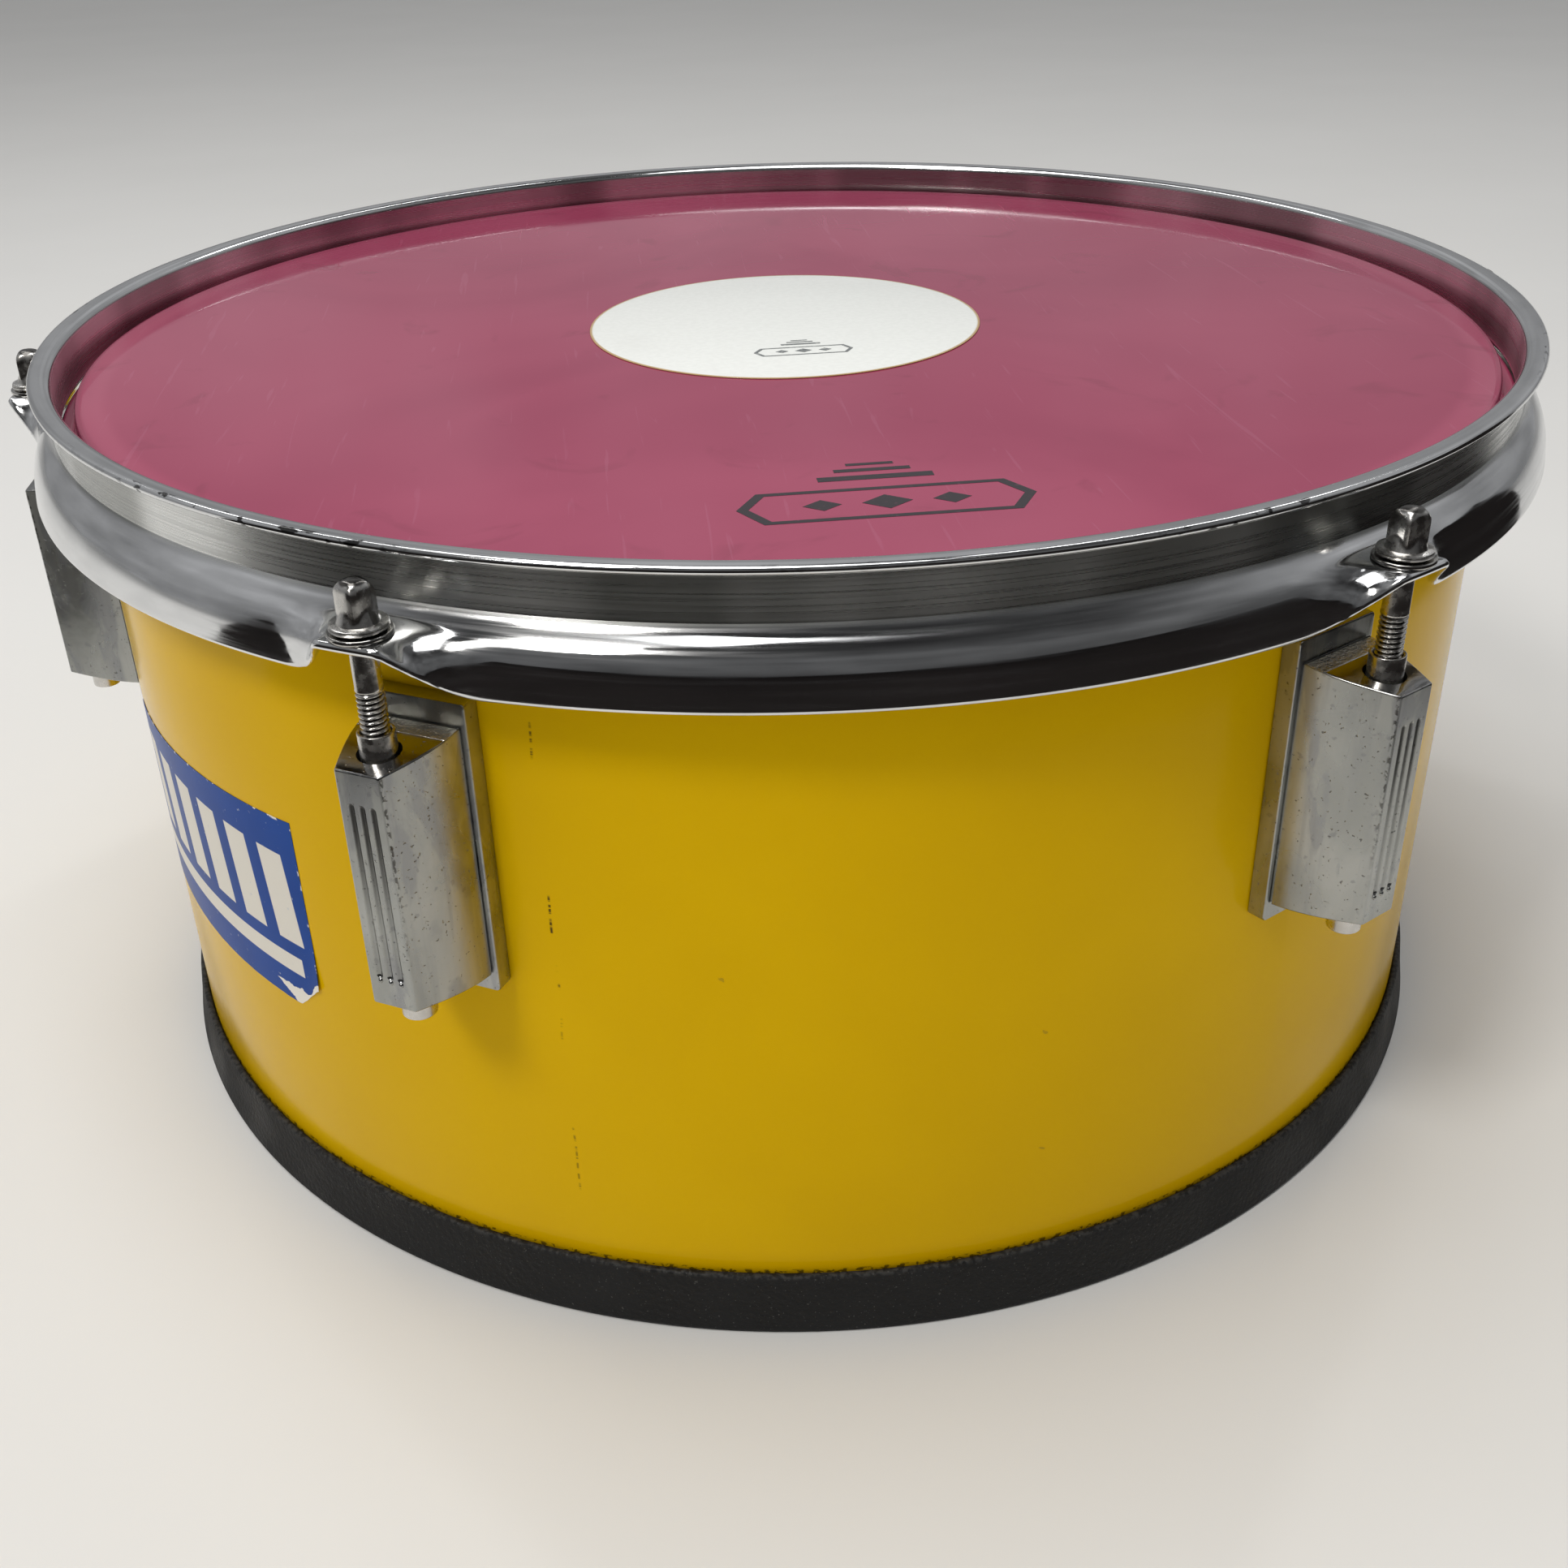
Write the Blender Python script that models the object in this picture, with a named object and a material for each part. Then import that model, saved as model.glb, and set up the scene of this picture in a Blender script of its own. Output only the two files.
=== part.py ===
"""A 14 by 7 inch tom tom drum, open at the bottom, as separate pieces.

The drum stands on its rubber rim. The origin is on the drum's axis at floor level, +Z is up, and an
azimuth is measured from -Y towards +X. Named sizes are in millimetres.
"""

import math

import bmesh
import bpy
from mathutils import Vector

MM = 0.001

# Driving sizes
SHELL_RADIUS = 177.8  # 14 inch shell, outside
SHELL_WALL = 6.5
RIM_SEAT = 2.5  # height of the shell's bottom edge
BEARING_EDGE = 179.3  # height of the shell's top edge
DRUM_HEIGHT = 188.0  # top of the counter hoop
GAP = 0.3  # between pieces that touch
RING_SEGMENTS = 60
SMALL_SEGMENTS = 12

# Lug stations
STATION_AZIMUTHS = (-30, 30, 90, 150, -150, -90)
ROD_RADIUS = 193.6  # the rods' distance from the drum's axis
ROD_SHANK = 2.65
THREAD_BORE = ROD_SHANK + GAP

# Head
FILM = 0.4
FILM_TOP = BEARING_EDGE + GAP + FILM
DISC_RADIUS = 176.9
COLLAR_RADIUS = 179.4
COLLAR_BOTTOM = 166.0
PATCH_RADIUS = 51.5

# Counter hoop
HOOP_INNER = 182.1
HOOP_WALL = 1.9
EAR_RADIUS = 199.3
EAR_TOP = 173.4
EAR_HALF_ANGLE = 1.95  # degrees of flat ear each side of the rod
EAR_BLEND_ANGLE = 6.5  # degrees from the rod where the lip is whole again
HOOP_COLUMNS = (0, 1.95, 2.9, 4.2, 6.5, 14.0, 22.0)

# Lug casting
LUG_FRONT = 201.2
LUG_PLATE_FRONT = 182.0
LUG_PLATE_BACK = SHELL_RADIUS + 0.35
LUG_PLATE_HALF = 11.6
LUG_WALL = 1.9
PLATE_LOW, PLATE_HIGH = 89.5, 155.5
NUT_HOLE = 4.2

# Fasteners
SCREW_HEIGHTS = (98.5, 145.5)
SCREW_SHANK = 2.0
WASHER_RADIUS = 6.0
WASHER_LOW, WASHER_HIGH = 173.7, 174.6


def clear_scene():
    for old in list(bpy.data.objects):
        bpy.data.objects.remove(old, do_unlink=True)


def finish_material(name, colour, roughness, metallic):
    """A plain Principled material."""
    material = bpy.data.materials.new(name)
    material.use_nodes = True
    shader = material.node_tree.nodes["Principled BSDF"]
    shader.inputs["Base Color"].default_value = (*colour, 1.0)
    shader.inputs["Roughness"].default_value = roughness
    shader.inputs["Metallic"].default_value = metallic
    return material


def outward(azimuth):
    """The direction away from the drum's axis at an azimuth in degrees."""
    turn = math.radians(azimuth)
    return Vector((math.sin(turn), -math.cos(turn), 0.0))


def at(azimuth, radius, height):
    """A point in metres, from an azimuth in degrees and sizes in millimetres."""
    return (outward(azimuth) * radius + Vector((0.0, 0.0, height))) * MM


def mesh_from_rows(name, rows, closed):
    """Joins rows of points by quads. A row of one point is a pole, and other ends are capped."""
    bm = bmesh.new()
    made = [[bm.verts.new(point) for point in row] for row in rows]
    pairs = list(zip(made, made[1:]))
    if closed:
        pairs.append((made[-1], made[0]))
    for low, high in pairs:
        count = max(len(low), len(high))
        for i in range(count):
            j = (i + 1) % count
            corners = [low[i % len(low)], low[j % len(low)], high[j % len(high)], high[i % len(high)]]
            bm.faces.new(list(dict.fromkeys(corners)))
    if not closed:
        for row in (made[0], made[-1]):
            if len(row) > 1:
                bm.faces.new(row)
    bmesh.ops.recalc_face_normals(bm, faces=bm.faces)
    mesh = bpy.data.meshes.new(name)
    bm.to_mesh(mesh)
    bm.free()
    return mesh


def smooth(mesh, angle=35):
    mesh.shade_smooth()
    mesh.set_sharp_from_angle(angle=math.radians(angle))


def add_object(name, mesh, material, parent=None):
    made = bpy.data.objects.new(name, mesh)
    bpy.context.scene.collection.objects.link(made)
    if material and not mesh.materials:
        mesh.materials.append(material)
    made.parent = parent
    return made


def ring_rows(profile, segments):
    """One row for each (radius, height) of a turned profile."""
    step = 360 / segments
    return [
        [at(i * step, radius, height) for i in range(segments if radius else 1)]
        for radius, height in profile
    ]


def turned_mesh(name, profile, segments=RING_SEGMENTS):
    """A turned solid. A profile that starts on the axis ends on it, and any other is a closed ring."""
    mesh = mesh_from_rows(name, ring_rows(profile, segments), closed=profile[0][0] > 0)
    smooth(mesh)
    return mesh


def tool(name, mesh):
    """A cutter or an added shape that a Boolean uses and that is no part of the drum."""
    made = add_object(name, mesh, None)
    made.hide_render = True
    made.display_type = "WIRE"
    return made


def add_boolean(target, other, operation):
    modifier = target.modifiers.new(other.name, "BOOLEAN")
    modifier.solver = "EXACT"
    modifier.operation = operation
    modifier.object = other


def radial_rods(stations, heights, radius, start, end):
    """Plain cylinders pointing away from the drum's axis, in one mesh."""
    bm = bmesh.new()
    for azimuth in stations:
        away = outward(azimuth)
        across = Vector((-away.y, away.x, 0.0))
        for height in heights:
            rows = []
            for reach in (start, end):
                centre = at(azimuth, reach, height)
                row = []
                for i in range(SMALL_SEGMENTS):
                    turn = 2 * math.pi * i / SMALL_SEGMENTS
                    side = across * math.cos(turn) + Vector((0, 0, 1)) * math.sin(turn)
                    row.append(bm.verts.new(centre + side * radius * MM))
                rows.append(row)
            for i in range(SMALL_SEGMENTS):
                j = (i + 1) % SMALL_SEGMENTS
                bm.faces.new([rows[0][i], rows[0][j], rows[1][j], rows[1][i]])
            bm.faces.new(rows[0])
            bm.faces.new(rows[1])
    bmesh.ops.recalc_face_normals(bm, faces=bm.faces)
    mesh = bpy.data.meshes.new("radial_rods")
    bm.to_mesh(mesh)
    bm.free()
    return mesh


def applied(source, name):
    """The mesh of an object with its modifiers applied."""
    graph = bpy.context.evaluated_depsgraph_get()
    mesh = bpy.data.meshes.new_from_object(source.evaluated_get(graph))
    mesh.name = name
    smooth(mesh)
    return mesh


def make_shell(material):
    """A plywood shell with a bevelled bearing edge and a pair of screw holes for each lug."""
    inner = SHELL_RADIUS - SHELL_WALL
    profile = [
        (inner, RIM_SEAT),
        (SHELL_RADIUS, RIM_SEAT),
        (SHELL_RADIUS, BEARING_EDGE - 1.7),
        (SHELL_RADIUS - 1.4, BEARING_EDGE),
        (SHELL_RADIUS - 2.4, BEARING_EDGE),
        (inner, BEARING_EDGE - 4.1),
    ]
    shell = add_object("shell", turned_mesh("shell", profile), material)
    holes = radial_rods(STATION_AZIMUTHS, SCREW_HEIGHTS, SCREW_SHANK + 0.6, inner - 3, SHELL_RADIUS + 3)
    add_boolean(shell, tool("screw_hole_cutter", holes), "DIFFERENCE")


def make_rim(material):
    """A rubber channel pushed over the shell's bottom edge."""
    inner = SHELL_RADIUS - SHELL_WALL
    profile = [
        (169.3, 0.0),
        (181.3, 0.0),
        (181.7, 0.8),
        (179.3, 15.3),
        (SHELL_RADIUS + GAP, 15.3),
        (SHELL_RADIUS + GAP, RIM_SEAT - GAP),
        (inner - GAP, RIM_SEAT - GAP),
        (inner - GAP, 12.5),
        (169.3, 12.5),
    ]
    add_object("rubber_rim", turned_mesh("rubber_rim", profile), material)


def make_head(film_material, hoop_material, patch_material):
    """The film's flat disc, its bent collar, the flesh hoop round the collar, and the centre patch."""
    under = FILM_TOP - FILM
    disc = [(0, FILM_TOP), (DISC_RADIUS, FILM_TOP), (DISC_RADIUS, under), (0, under)]
    add_object("head_film", turned_mesh("head_film", disc), film_material)
    collar = [
        (DISC_RADIUS + GAP, FILM_TOP),
        (178.5, FILM_TOP - 1.0),
        (COLLAR_RADIUS, FILM_TOP - 3.6),
        (COLLAR_RADIUS, COLLAR_BOTTOM),
        (COLLAR_RADIUS - FILM, COLLAR_BOTTOM),
        (COLLAR_RADIUS - FILM, FILM_TOP - 3.9),
        (178.2, FILM_TOP - 1.5),
        (DISC_RADIUS + GAP, under),
    ]
    collar.reverse()
    add_object("head_collar", turned_mesh("head_collar", collar), film_material)
    flesh = [
        (179.8, 164.2),
        (185.2, 164.2),
        (185.2, 169.6),
        (184.3, 171.0),
        (182.4, 172.9),
        (179.8, 172.9),
    ]
    add_object("flesh_hoop", turned_mesh("flesh_hoop", flesh), hoop_material)
    low = FILM_TOP + GAP
    patch = [(0, low + 0.3), (PATCH_RADIUS, low + 0.3), (PATCH_RADIUS, low), (0, low)]
    add_object("centre_patch", turned_mesh("centre_patch", patch, segments=36), patch_material)


def hoop_section(flatness):
    """The hoop's section: a plain stretch where flatness is 0, an ear where it is 1."""
    wall = HOOP_INNER + HOOP_WALL
    plain = [
        (HOOP_INNER, 174.0),
        (184.9, 171.9),
        (187.2, 169.3),
        (188.2, 166.3),
        (189.0, 162.2),
        (190.8, 162.2),
        (190.1, 166.8),
        (189.0, 169.8),
        (186.6, 173.0),
        (wall, 175.6),
    ]
    ear = [
        (HOOP_INNER, 174.0),
        (185.4, 172.2),
        (190.0, EAR_TOP - 1.8),
        (195.0, EAR_TOP - 1.8),
        (EAR_RADIUS - 0.5, EAR_TOP - 1.8),
        (EAR_RADIUS, EAR_TOP),
        (195.0, EAR_TOP),
        (189.6, EAR_TOP),
        (186.6, EAR_TOP + 0.3),
        (wall, 175.4),
    ]
    upper = [(wall, 186.2), (186.4, 186.6), (186.4, DRUM_HEIGHT), (HOOP_INNER, DRUM_HEIGHT)]
    mixed = [
        (r0 + (r1 - r0) * flatness, z0 + (z1 - z0) * flatness)
        for (r0, z0), (r1, z1) in zip(plain, ear)
    ]
    return mixed + upper


def make_hoop(material):
    """A triple-flanged steel hoop: rolled rim, upright wall, and a lip that flattens into six ears."""
    span = 360 / len(STATION_AZIMUTHS)
    offsets = [*HOOP_COLUMNS, span / 2, *(-a for a in reversed(HOOP_COLUMNS[1:]))]
    rows = []
    for station in sorted(STATION_AZIMUTHS):
        for offset in offsets:
            t = (EAR_BLEND_ANGLE - abs(offset)) / (EAR_BLEND_ANGLE - EAR_HALF_ANGLE)
            section = hoop_section(min(1.0, max(0.0, t)) ** 2)
            rows.append([at(station + offset % span, r, z) for r, z in section])
    mesh = mesh_from_rows("counter_hoop", rows, closed=True)
    smooth(mesh)
    hoop = add_object("counter_hoop", mesh, material)
    bm = bmesh.new()
    for station in STATION_AZIMUTHS:
        made = bmesh.ops.create_cone(
            bm, cap_ends=True, segments=SMALL_SEGMENTS, radius1=3.3 * MM, radius2=3.3 * MM, depth=8 * MM
        )
        bmesh.ops.translate(bm, vec=at(station, ROD_RADIUS, EAR_TOP), verts=made["verts"])
    cutter = bpy.data.meshes.new("ear_holes")
    bm.to_mesh(cutter)
    bm.free()
    add_boolean(hoop, tool("ear_hole_cutter", cutter), "DIFFERENCE")


def make_sticker(material):
    """A thin label wrapped on the shell, with its lower front corner torn off."""
    first, last = -72.7, -44.3
    columns = 12
    tear = 2.8  # degrees of the torn corner
    rows = []
    for i in range(columns + 1):
        azimuth = first + (last - first) * i / columns
        high = 109.1 + 3.5 * i / columns
        low = 60.6 + 8.0 * max(0.0, (azimuth - last + tear) / tear)
        near, far = SHELL_RADIUS + 0.25, SHELL_RADIUS + 0.45
        rows.append([at(azimuth, near, low), at(azimuth, far, low), at(azimuth, far, high), at(azimuth, near, high)])
    add_object("shell_sticker", mesh_from_rows("shell_sticker", rows, closed=False), material)


def lug_row(half, reach, low, high, curved=False):
    """Six points round a lug at one reach from the drum's axis. A curved row follows the shell."""
    row = []
    for x, z in ((-half, low), (0, low), (half, low), (half, high), (0, high), (-half, high)):
        y = math.sqrt(reach * reach - x * x) if curved else reach
        row.append(Vector((x, -y, z)) * MM)
    return row


def make_lug_mesh():
    """A die-cast lug: base plate, tapered hollow body, nut holes at both ends, two screw bosses."""
    back = LUG_PLATE_BACK
    rows = [
        lug_row(4.9, LUG_FRONT, 96.0, 148.7),
        lug_row(6.2, 198.5, 95.7, 149.0),
        lug_row(8.2, 193.3, 95.1, 149.5),
        lug_row(9.6, 188.0, 94.4, 150.0),
        lug_row(10.3, LUG_PLATE_FRONT + 0.2, 93.7, 150.6),
        lug_row(LUG_PLATE_HALF - 0.8, LUG_PLATE_FRONT, PLATE_LOW + 0.8, PLATE_HIGH - 0.8),
        lug_row(LUG_PLATE_HALF, LUG_PLATE_FRONT - 0.8, PLATE_LOW, PLATE_HIGH),
        lug_row(LUG_PLATE_HALF, back, PLATE_LOW, PLATE_HIGH, curved=True),
        lug_row(LUG_PLATE_HALF - LUG_WALL, back, PLATE_LOW + LUG_WALL, PLATE_HIGH - LUG_WALL, curved=True),
        lug_row(LUG_PLATE_HALF - LUG_WALL, 180.2, PLATE_LOW + LUG_WALL, PLATE_HIGH - LUG_WALL),
        lug_row(8.6, 180.4, 95.5, 148.8),
        lug_row(6.4, 193.3, 96.9, 147.7),
        lug_row(3.4, LUG_FRONT - LUG_WALL, 98.0, 146.8),
    ]
    lug = add_object("lug_blank", mesh_from_rows("lug_blank", rows, closed=False), None)
    tools = []
    for height in SCREW_HEIGHTS:
        boss = radial_rods((0,), (height,), 3.5, 179.0, 187.0)
        bore = radial_rods((0,), (height,), SCREW_SHANK + GAP, 177.0, 186.2)
        tools += [(tool("boss", boss), "UNION"), (tool("boss_bore", bore), "DIFFERENCE")]
    profile = [(0, PLATE_LOW - 5), (NUT_HOLE, PLATE_LOW - 5), (NUT_HOLE, PLATE_HIGH + 5), (0, PLATE_HIGH + 5)]
    passage = tool("nut_passage", turned_mesh("nut_passage", profile, SMALL_SEGMENTS))
    passage.location = at(0, ROD_RADIUS, 0)
    tools.append((passage, "DIFFERENCE"))
    for other, operation in tools:
        add_boolean(lug, other, operation)
    mesh = applied(lug, "lug")
    for used in [lug, *(other for other, _ in tools)]:
        bpy.data.objects.remove(used)
    return mesh


def make_rod_mesh():
    """A square-headed tension rod. A square row is flattened on four sides."""
    key_half = 2.95
    profile = [
        (0, 124.0, None),
        (1.9, 124.0, None),
        (ROD_SHANK, 125.0, None),
        (ROD_SHANK, WASHER_HIGH + GAP, None),
        (5.6, WASHER_HIGH + GAP, None),
        (5.6, WASHER_HIGH + GAP + 1.1, None),
        (4.4, WASHER_HIGH + GAP + 1.9, key_half),
        (3.85, 182.0, key_half),
        (2.6, 183.6, key_half - 0.8),
        (0, 184.0, None),
    ]
    rows = []
    for radius, height, half in profile:
        row = []
        for i in range(SMALL_SEGMENTS if radius else 1):
            turn = 2 * math.pi * (i + 0.5) / SMALL_SEGMENTS
            side = max(abs(math.cos(turn)), abs(math.sin(turn)))
            reach = min(radius, half / side) if half else radius
            row.append(Vector((reach * math.cos(turn), reach * math.sin(turn), height)) * MM)
        rows.append(row)
    mesh = mesh_from_rows("tension_rod", rows, closed=False)
    smooth(mesh)
    return mesh


def make_washer_mesh():
    inner = ROD_SHANK + 0.5
    profile = [
        (inner, WASHER_LOW),
        (WASHER_RADIUS, WASHER_LOW),
        (WASHER_RADIUS, WASHER_HIGH),
        (inner, WASHER_HIGH),
    ]
    return turned_mesh("rod_washer", profile, SMALL_SEGMENTS)


def make_nut_mesh(name, shoulder, tip, tail):
    """A swivel nut: a barrel through the lug's end wall, a round shoulder inside, and a spring spigot."""
    up = 1 if tip > shoulder else -1
    profile = [
        (THREAD_BORE, tail),
        (3.4, tail),
        (3.4, shoulder - 2.2 * up),
        (5.2, shoulder - 2.2 * up),
        (5.2, shoulder),
        (3.6, shoulder),
        (3.6, tip),
        (THREAD_BORE, tip),
    ]
    return turned_mesh(name, profile, SMALL_SEGMENTS)


def make_spring_mesh(low, high):
    """An open coil between the two nuts."""
    coil, wire, turns, steps = 4.4, 0.5, 4, 8
    rows = []
    for i in range(turns * steps + 1):
        turn = 2 * math.pi * i / steps
        away = Vector((math.cos(turn), math.sin(turn), 0.0))
        centre = away * coil + Vector((0, 0, low + (high - low) * i / (turns * steps)))
        rows.append(
            [(centre + away * a + Vector((0, 0, b))) * MM for a, b in ((wire, 0), (0, wire), (-wire, 0), (0, -wire))]
        )
    return mesh_from_rows("nut_spring", rows, closed=False)


def make_screw_mesh():
    """A washer-headed screw, along its own +Z, its place measured from the drum's axis."""
    seat = SHELL_RADIUS - SHELL_WALL - 0.6
    profile = [
        (0, seat - 3.2),
        (2.6, seat - 3.0),
        (3.0, seat - 1.0),
        (4.6, seat - 1.0),
        (4.6, seat),
        (SCREW_SHANK, seat),
        (SCREW_SHANK, 184.6),
        (0, 185.4),
    ]
    return turned_mesh("lug_screw", profile, SMALL_SEGMENTS)


def make_stations(chrome, steel, brass):
    """Six lugs, each with its nuts, spring and screws, and the tension rod and washer above it."""
    lug = make_lug_mesh()
    rod = make_rod_mesh()
    washer = make_washer_mesh()
    nut = make_nut_mesh("swivel_nut", 146.3, 154.0, 138.0)
    lower_nut = make_nut_mesh("lower_nut", 98.5, 90.0, 107.0)
    spring = make_spring_mesh(101.6, 142.9)
    screw = make_screw_mesh()
    pieces = (
        ("swivel_nut", nut, brass),
        ("lower_nut", lower_nut, brass),
        ("nut_spring", spring, steel),
        ("rod_washer", washer, steel),
        ("tension_rod", rod, steel),
    )
    for number, azimuth in enumerate(STATION_AZIMUTHS, start=1):
        station = bpy.data.objects.new(f"station_{number}", None)
        bpy.context.scene.collection.objects.link(station)
        station.rotation_euler.z = math.radians(azimuth)
        add_object(f"lug_{number}", lug, chrome, station)
        for name, mesh, material in pieces:
            piece = add_object(f"{name}_{number}", mesh, material, station)
            piece.location = at(0, ROD_RADIUS, 0)
        for place, height in zip(("low", "high"), SCREW_HEIGHTS):
            fastener = add_object(f"lug_screw_{place}_{number}", screw, steel, station)
            fastener.location.z = height * MM
            fastener.rotation_euler.x = math.pi / 2


def main():
    clear_scene()
    lacquer = finish_material("yellow_lacquer", (0.76, 0.46, 0.005), 0.25, 0.0)
    rubber = finish_material("black_rubber", (0.02, 0.02, 0.02), 0.8, 0.0)
    film = finish_material("pink_film", (0.3, 0.05, 0.1), 0.12, 0.0)
    patch = finish_material("white_patch", (0.8, 0.82, 0.83), 0.35, 0.0)
    label = finish_material("blue_label", (0.02, 0.08, 0.32), 0.3, 0.0)
    chrome = finish_material("chrome_plate", (0.6, 0.6, 0.62), 0.15, 1.0)
    satin = finish_material("dull_chrome", (0.5, 0.5, 0.5), 0.35, 1.0)
    steel = finish_material("plated_steel", (0.45, 0.45, 0.45), 0.25, 1.0)
    brass = finish_material("plated_brass", (0.5, 0.48, 0.44), 0.3, 1.0)
    aluminium = finish_material("aluminium", (0.6, 0.6, 0.6), 0.4, 1.0)
    make_shell(lacquer)
    make_rim(rubber)
    make_head(film, aluminium, patch)
    make_hoop(chrome)
    make_sticker(label)
    make_stations(satin, steel, brass)


main()
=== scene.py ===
"""The looks of a 14 by 7 inch tom tom drum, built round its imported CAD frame.

Everything is in the drum's own frame: the origin is on the drum's axis at floor level, +Z is up, and an
azimuth is measured from -Y towards +X. Named sizes are in millimetres unless they say otherwise.
"""

import math

import bmesh
import bpy
from mathutils import Matrix, Vector, noise


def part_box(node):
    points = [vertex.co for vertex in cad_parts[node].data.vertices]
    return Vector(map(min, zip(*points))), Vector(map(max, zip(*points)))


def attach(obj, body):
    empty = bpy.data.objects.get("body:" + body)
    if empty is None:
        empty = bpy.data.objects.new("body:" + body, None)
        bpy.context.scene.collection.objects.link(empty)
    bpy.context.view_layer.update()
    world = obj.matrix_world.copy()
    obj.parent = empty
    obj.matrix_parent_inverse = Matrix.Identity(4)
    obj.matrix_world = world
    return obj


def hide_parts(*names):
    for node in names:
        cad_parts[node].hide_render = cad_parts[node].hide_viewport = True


MM = 0.001
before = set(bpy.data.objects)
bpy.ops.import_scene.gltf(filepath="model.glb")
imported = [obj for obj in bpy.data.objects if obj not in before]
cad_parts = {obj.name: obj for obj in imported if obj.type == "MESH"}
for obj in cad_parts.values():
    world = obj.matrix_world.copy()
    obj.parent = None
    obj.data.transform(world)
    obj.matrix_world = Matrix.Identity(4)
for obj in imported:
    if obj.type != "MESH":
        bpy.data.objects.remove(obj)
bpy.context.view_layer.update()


def high(node):
    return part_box(node)[1] / MM


def low(node):
    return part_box(node)[0] / MM


# Sizes read from the frame
SHELL_RADIUS = high("shell").x
SHELL_BOTTOM, SHELL_TOP = low("shell").z, high("shell").z
SHELL_WALL = 6.5
FILM_TOP = high("head_film").z
COLLAR_RADIUS = high("head_collar").x
COLLAR_BOTTOM = low("head_collar").z
PATCH_RADIUS = high("centre_patch").x
RIM_RADIUS = high("rubber_rim").x
RIM_TOP = high("rubber_rim").z
PLATE_LOW, PLATE_HIGH = low("lug_3").z, high("lug_3").z
PLATE_HALF = high("lug_3").y
LUG_FRONT = high("lug_3").x
NUT_TIP = high("swivel_nut_1").z
LOWER_NUT_TIP = low("lower_nut_1").z
KEY_TOP = high("tension_rod_1").z
ROD_END = low("tension_rod_1").z
ROD_RADIUS = (high("rod_washer_3").x + low("rod_washer_3").x) / 2
SCREW_HEIGHTS = tuple(
    (high(f"lug_screw_{end}_3").z + low(f"lug_screw_{end}_3").z) / 2 for end in ("low", "high")
)

# Lug stations: station number to azimuth in degrees
STATIONS = {1: -30, 2: 30, 3: 90, 4: 150, 5: -150, 6: -90}
KEY_TURNS = {1: -18, 2: -8, 3: 10, 4: 25, 5: -12, 6: 5}  # how far each rod's square key is turned


# ---------------------------------------------------------------- geometry helpers


def outward(azimuth):
    turn = math.radians(azimuth)
    return Vector((math.sin(turn), -math.cos(turn), 0.0))


def at(azimuth, radius, height):
    """A point in metres, from an azimuth in degrees and sizes in millimetres."""
    return (outward(azimuth) * radius + Vector((0.0, 0.0, height))) * MM


def smoothstep(value):
    value = min(1.0, max(0.0, value))
    return value * value * (3 - 2 * value)


def rounded(profile, radius, steps=3, closed=True):
    """A profile with each corner turned into a short curve. A corner on the axis stays as it is."""
    points = [Vector(p) for p in profile]
    count = len(points)
    result = []
    for i, corner in enumerate(points):
        ends = not closed and i in (0, count - 1)
        if ends or corner.x < 1e-6:
            result.append(tuple(corner))
            continue
        before = points[i - 1] - corner
        after = points[(i + 1) % count] - corner
        reach = min(radius, before.length * 0.48, after.length * 0.48)
        start = corner + before.normalized() * reach
        end = corner + after.normalized() * reach
        for step in range(steps + 1):
            t = step / steps
            point = start * (1 - t) ** 2 + corner * (2 * t * (1 - t)) + end * t**2
            result.append(tuple(point))
    return result


def catmull(points, steps):
    """A smooth curve through points, with its first and last points kept."""
    padded = [points[0], *points, points[-1]]
    result = []
    for i in range(len(points) - 1):
        a, b, c, d = (Vector(padded[i + k]) for k in range(4))
        for step in range(steps):
            t = step / steps
            bend = (2 * a - 5 * b + 4 * c - d) * t**2
            twist = (3 * b - a - 3 * c + d) * t**3
            result.append(0.5 * ((2 * b) + (c - a) * t + bend + twist))
    result.append(Vector(points[-1]))
    return result


def finish_mesh(bm, name, outwards=True):
    """Turns bm into a mesh and frees it. Outwards first points its faces out."""
    if outwards:
        bmesh.ops.recalc_face_normals(bm, faces=bm.faces)
    mesh = bpy.data.meshes.new(name)
    bm.to_mesh(mesh)
    bm.free()
    return mesh


def mesh_from_rows(name, rows, closed):
    """Joins rows of points by quads. A row of one point is a pole, and other ends are capped."""
    bm = bmesh.new()
    made = [[bm.verts.new(point) for point in row] for row in rows]
    pairs = list(zip(made, made[1:]))
    if closed:
        pairs.append((made[-1], made[0]))
    for first, second in pairs:
        count = max(len(first), len(second))
        for i in range(count):
            j = (i + 1) % count
            corners = (
                first[i % len(first)],
                first[j % len(first)],
                second[j % len(second)],
                second[i % len(second)],
            )
            bm.faces.new(list(dict.fromkeys(corners)))
    if not closed:
        for row in (made[0], made[-1]):
            if len(row) > 1:
                bm.faces.new(row)
    return finish_mesh(bm, name)


def smooth(mesh, angle=35):
    mesh.shade_smooth()
    mesh.set_sharp_from_angle(angle=math.radians(angle))
    return mesh


def turned(name, profile, segments):
    """A turned solid. A profile that starts on the axis ends on it, and any other is a closed ring."""
    step = 360 / segments
    rows = [
        [at(i * step, radius, height) for i in range(segments if radius > 1e-6 else 1)]
        for radius, height in profile
    ]
    return smooth(mesh_from_rows(name, rows, closed=profile[0][0] > 1e-6))


def add_object(name, mesh, *materials):
    made = bpy.data.objects.new(name, mesh)
    bpy.context.scene.collection.objects.link(made)
    if not mesh.materials:
        for material in materials:
            mesh.materials.append(material)
    return made


def place(piece, body, slot, *nodes):
    """Says which body a finished piece moves with, and hides the CAD nodes it stands for. Its slot is not
    used.
    """
    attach(piece, body)
    if nodes:
        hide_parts(*nodes)


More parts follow.
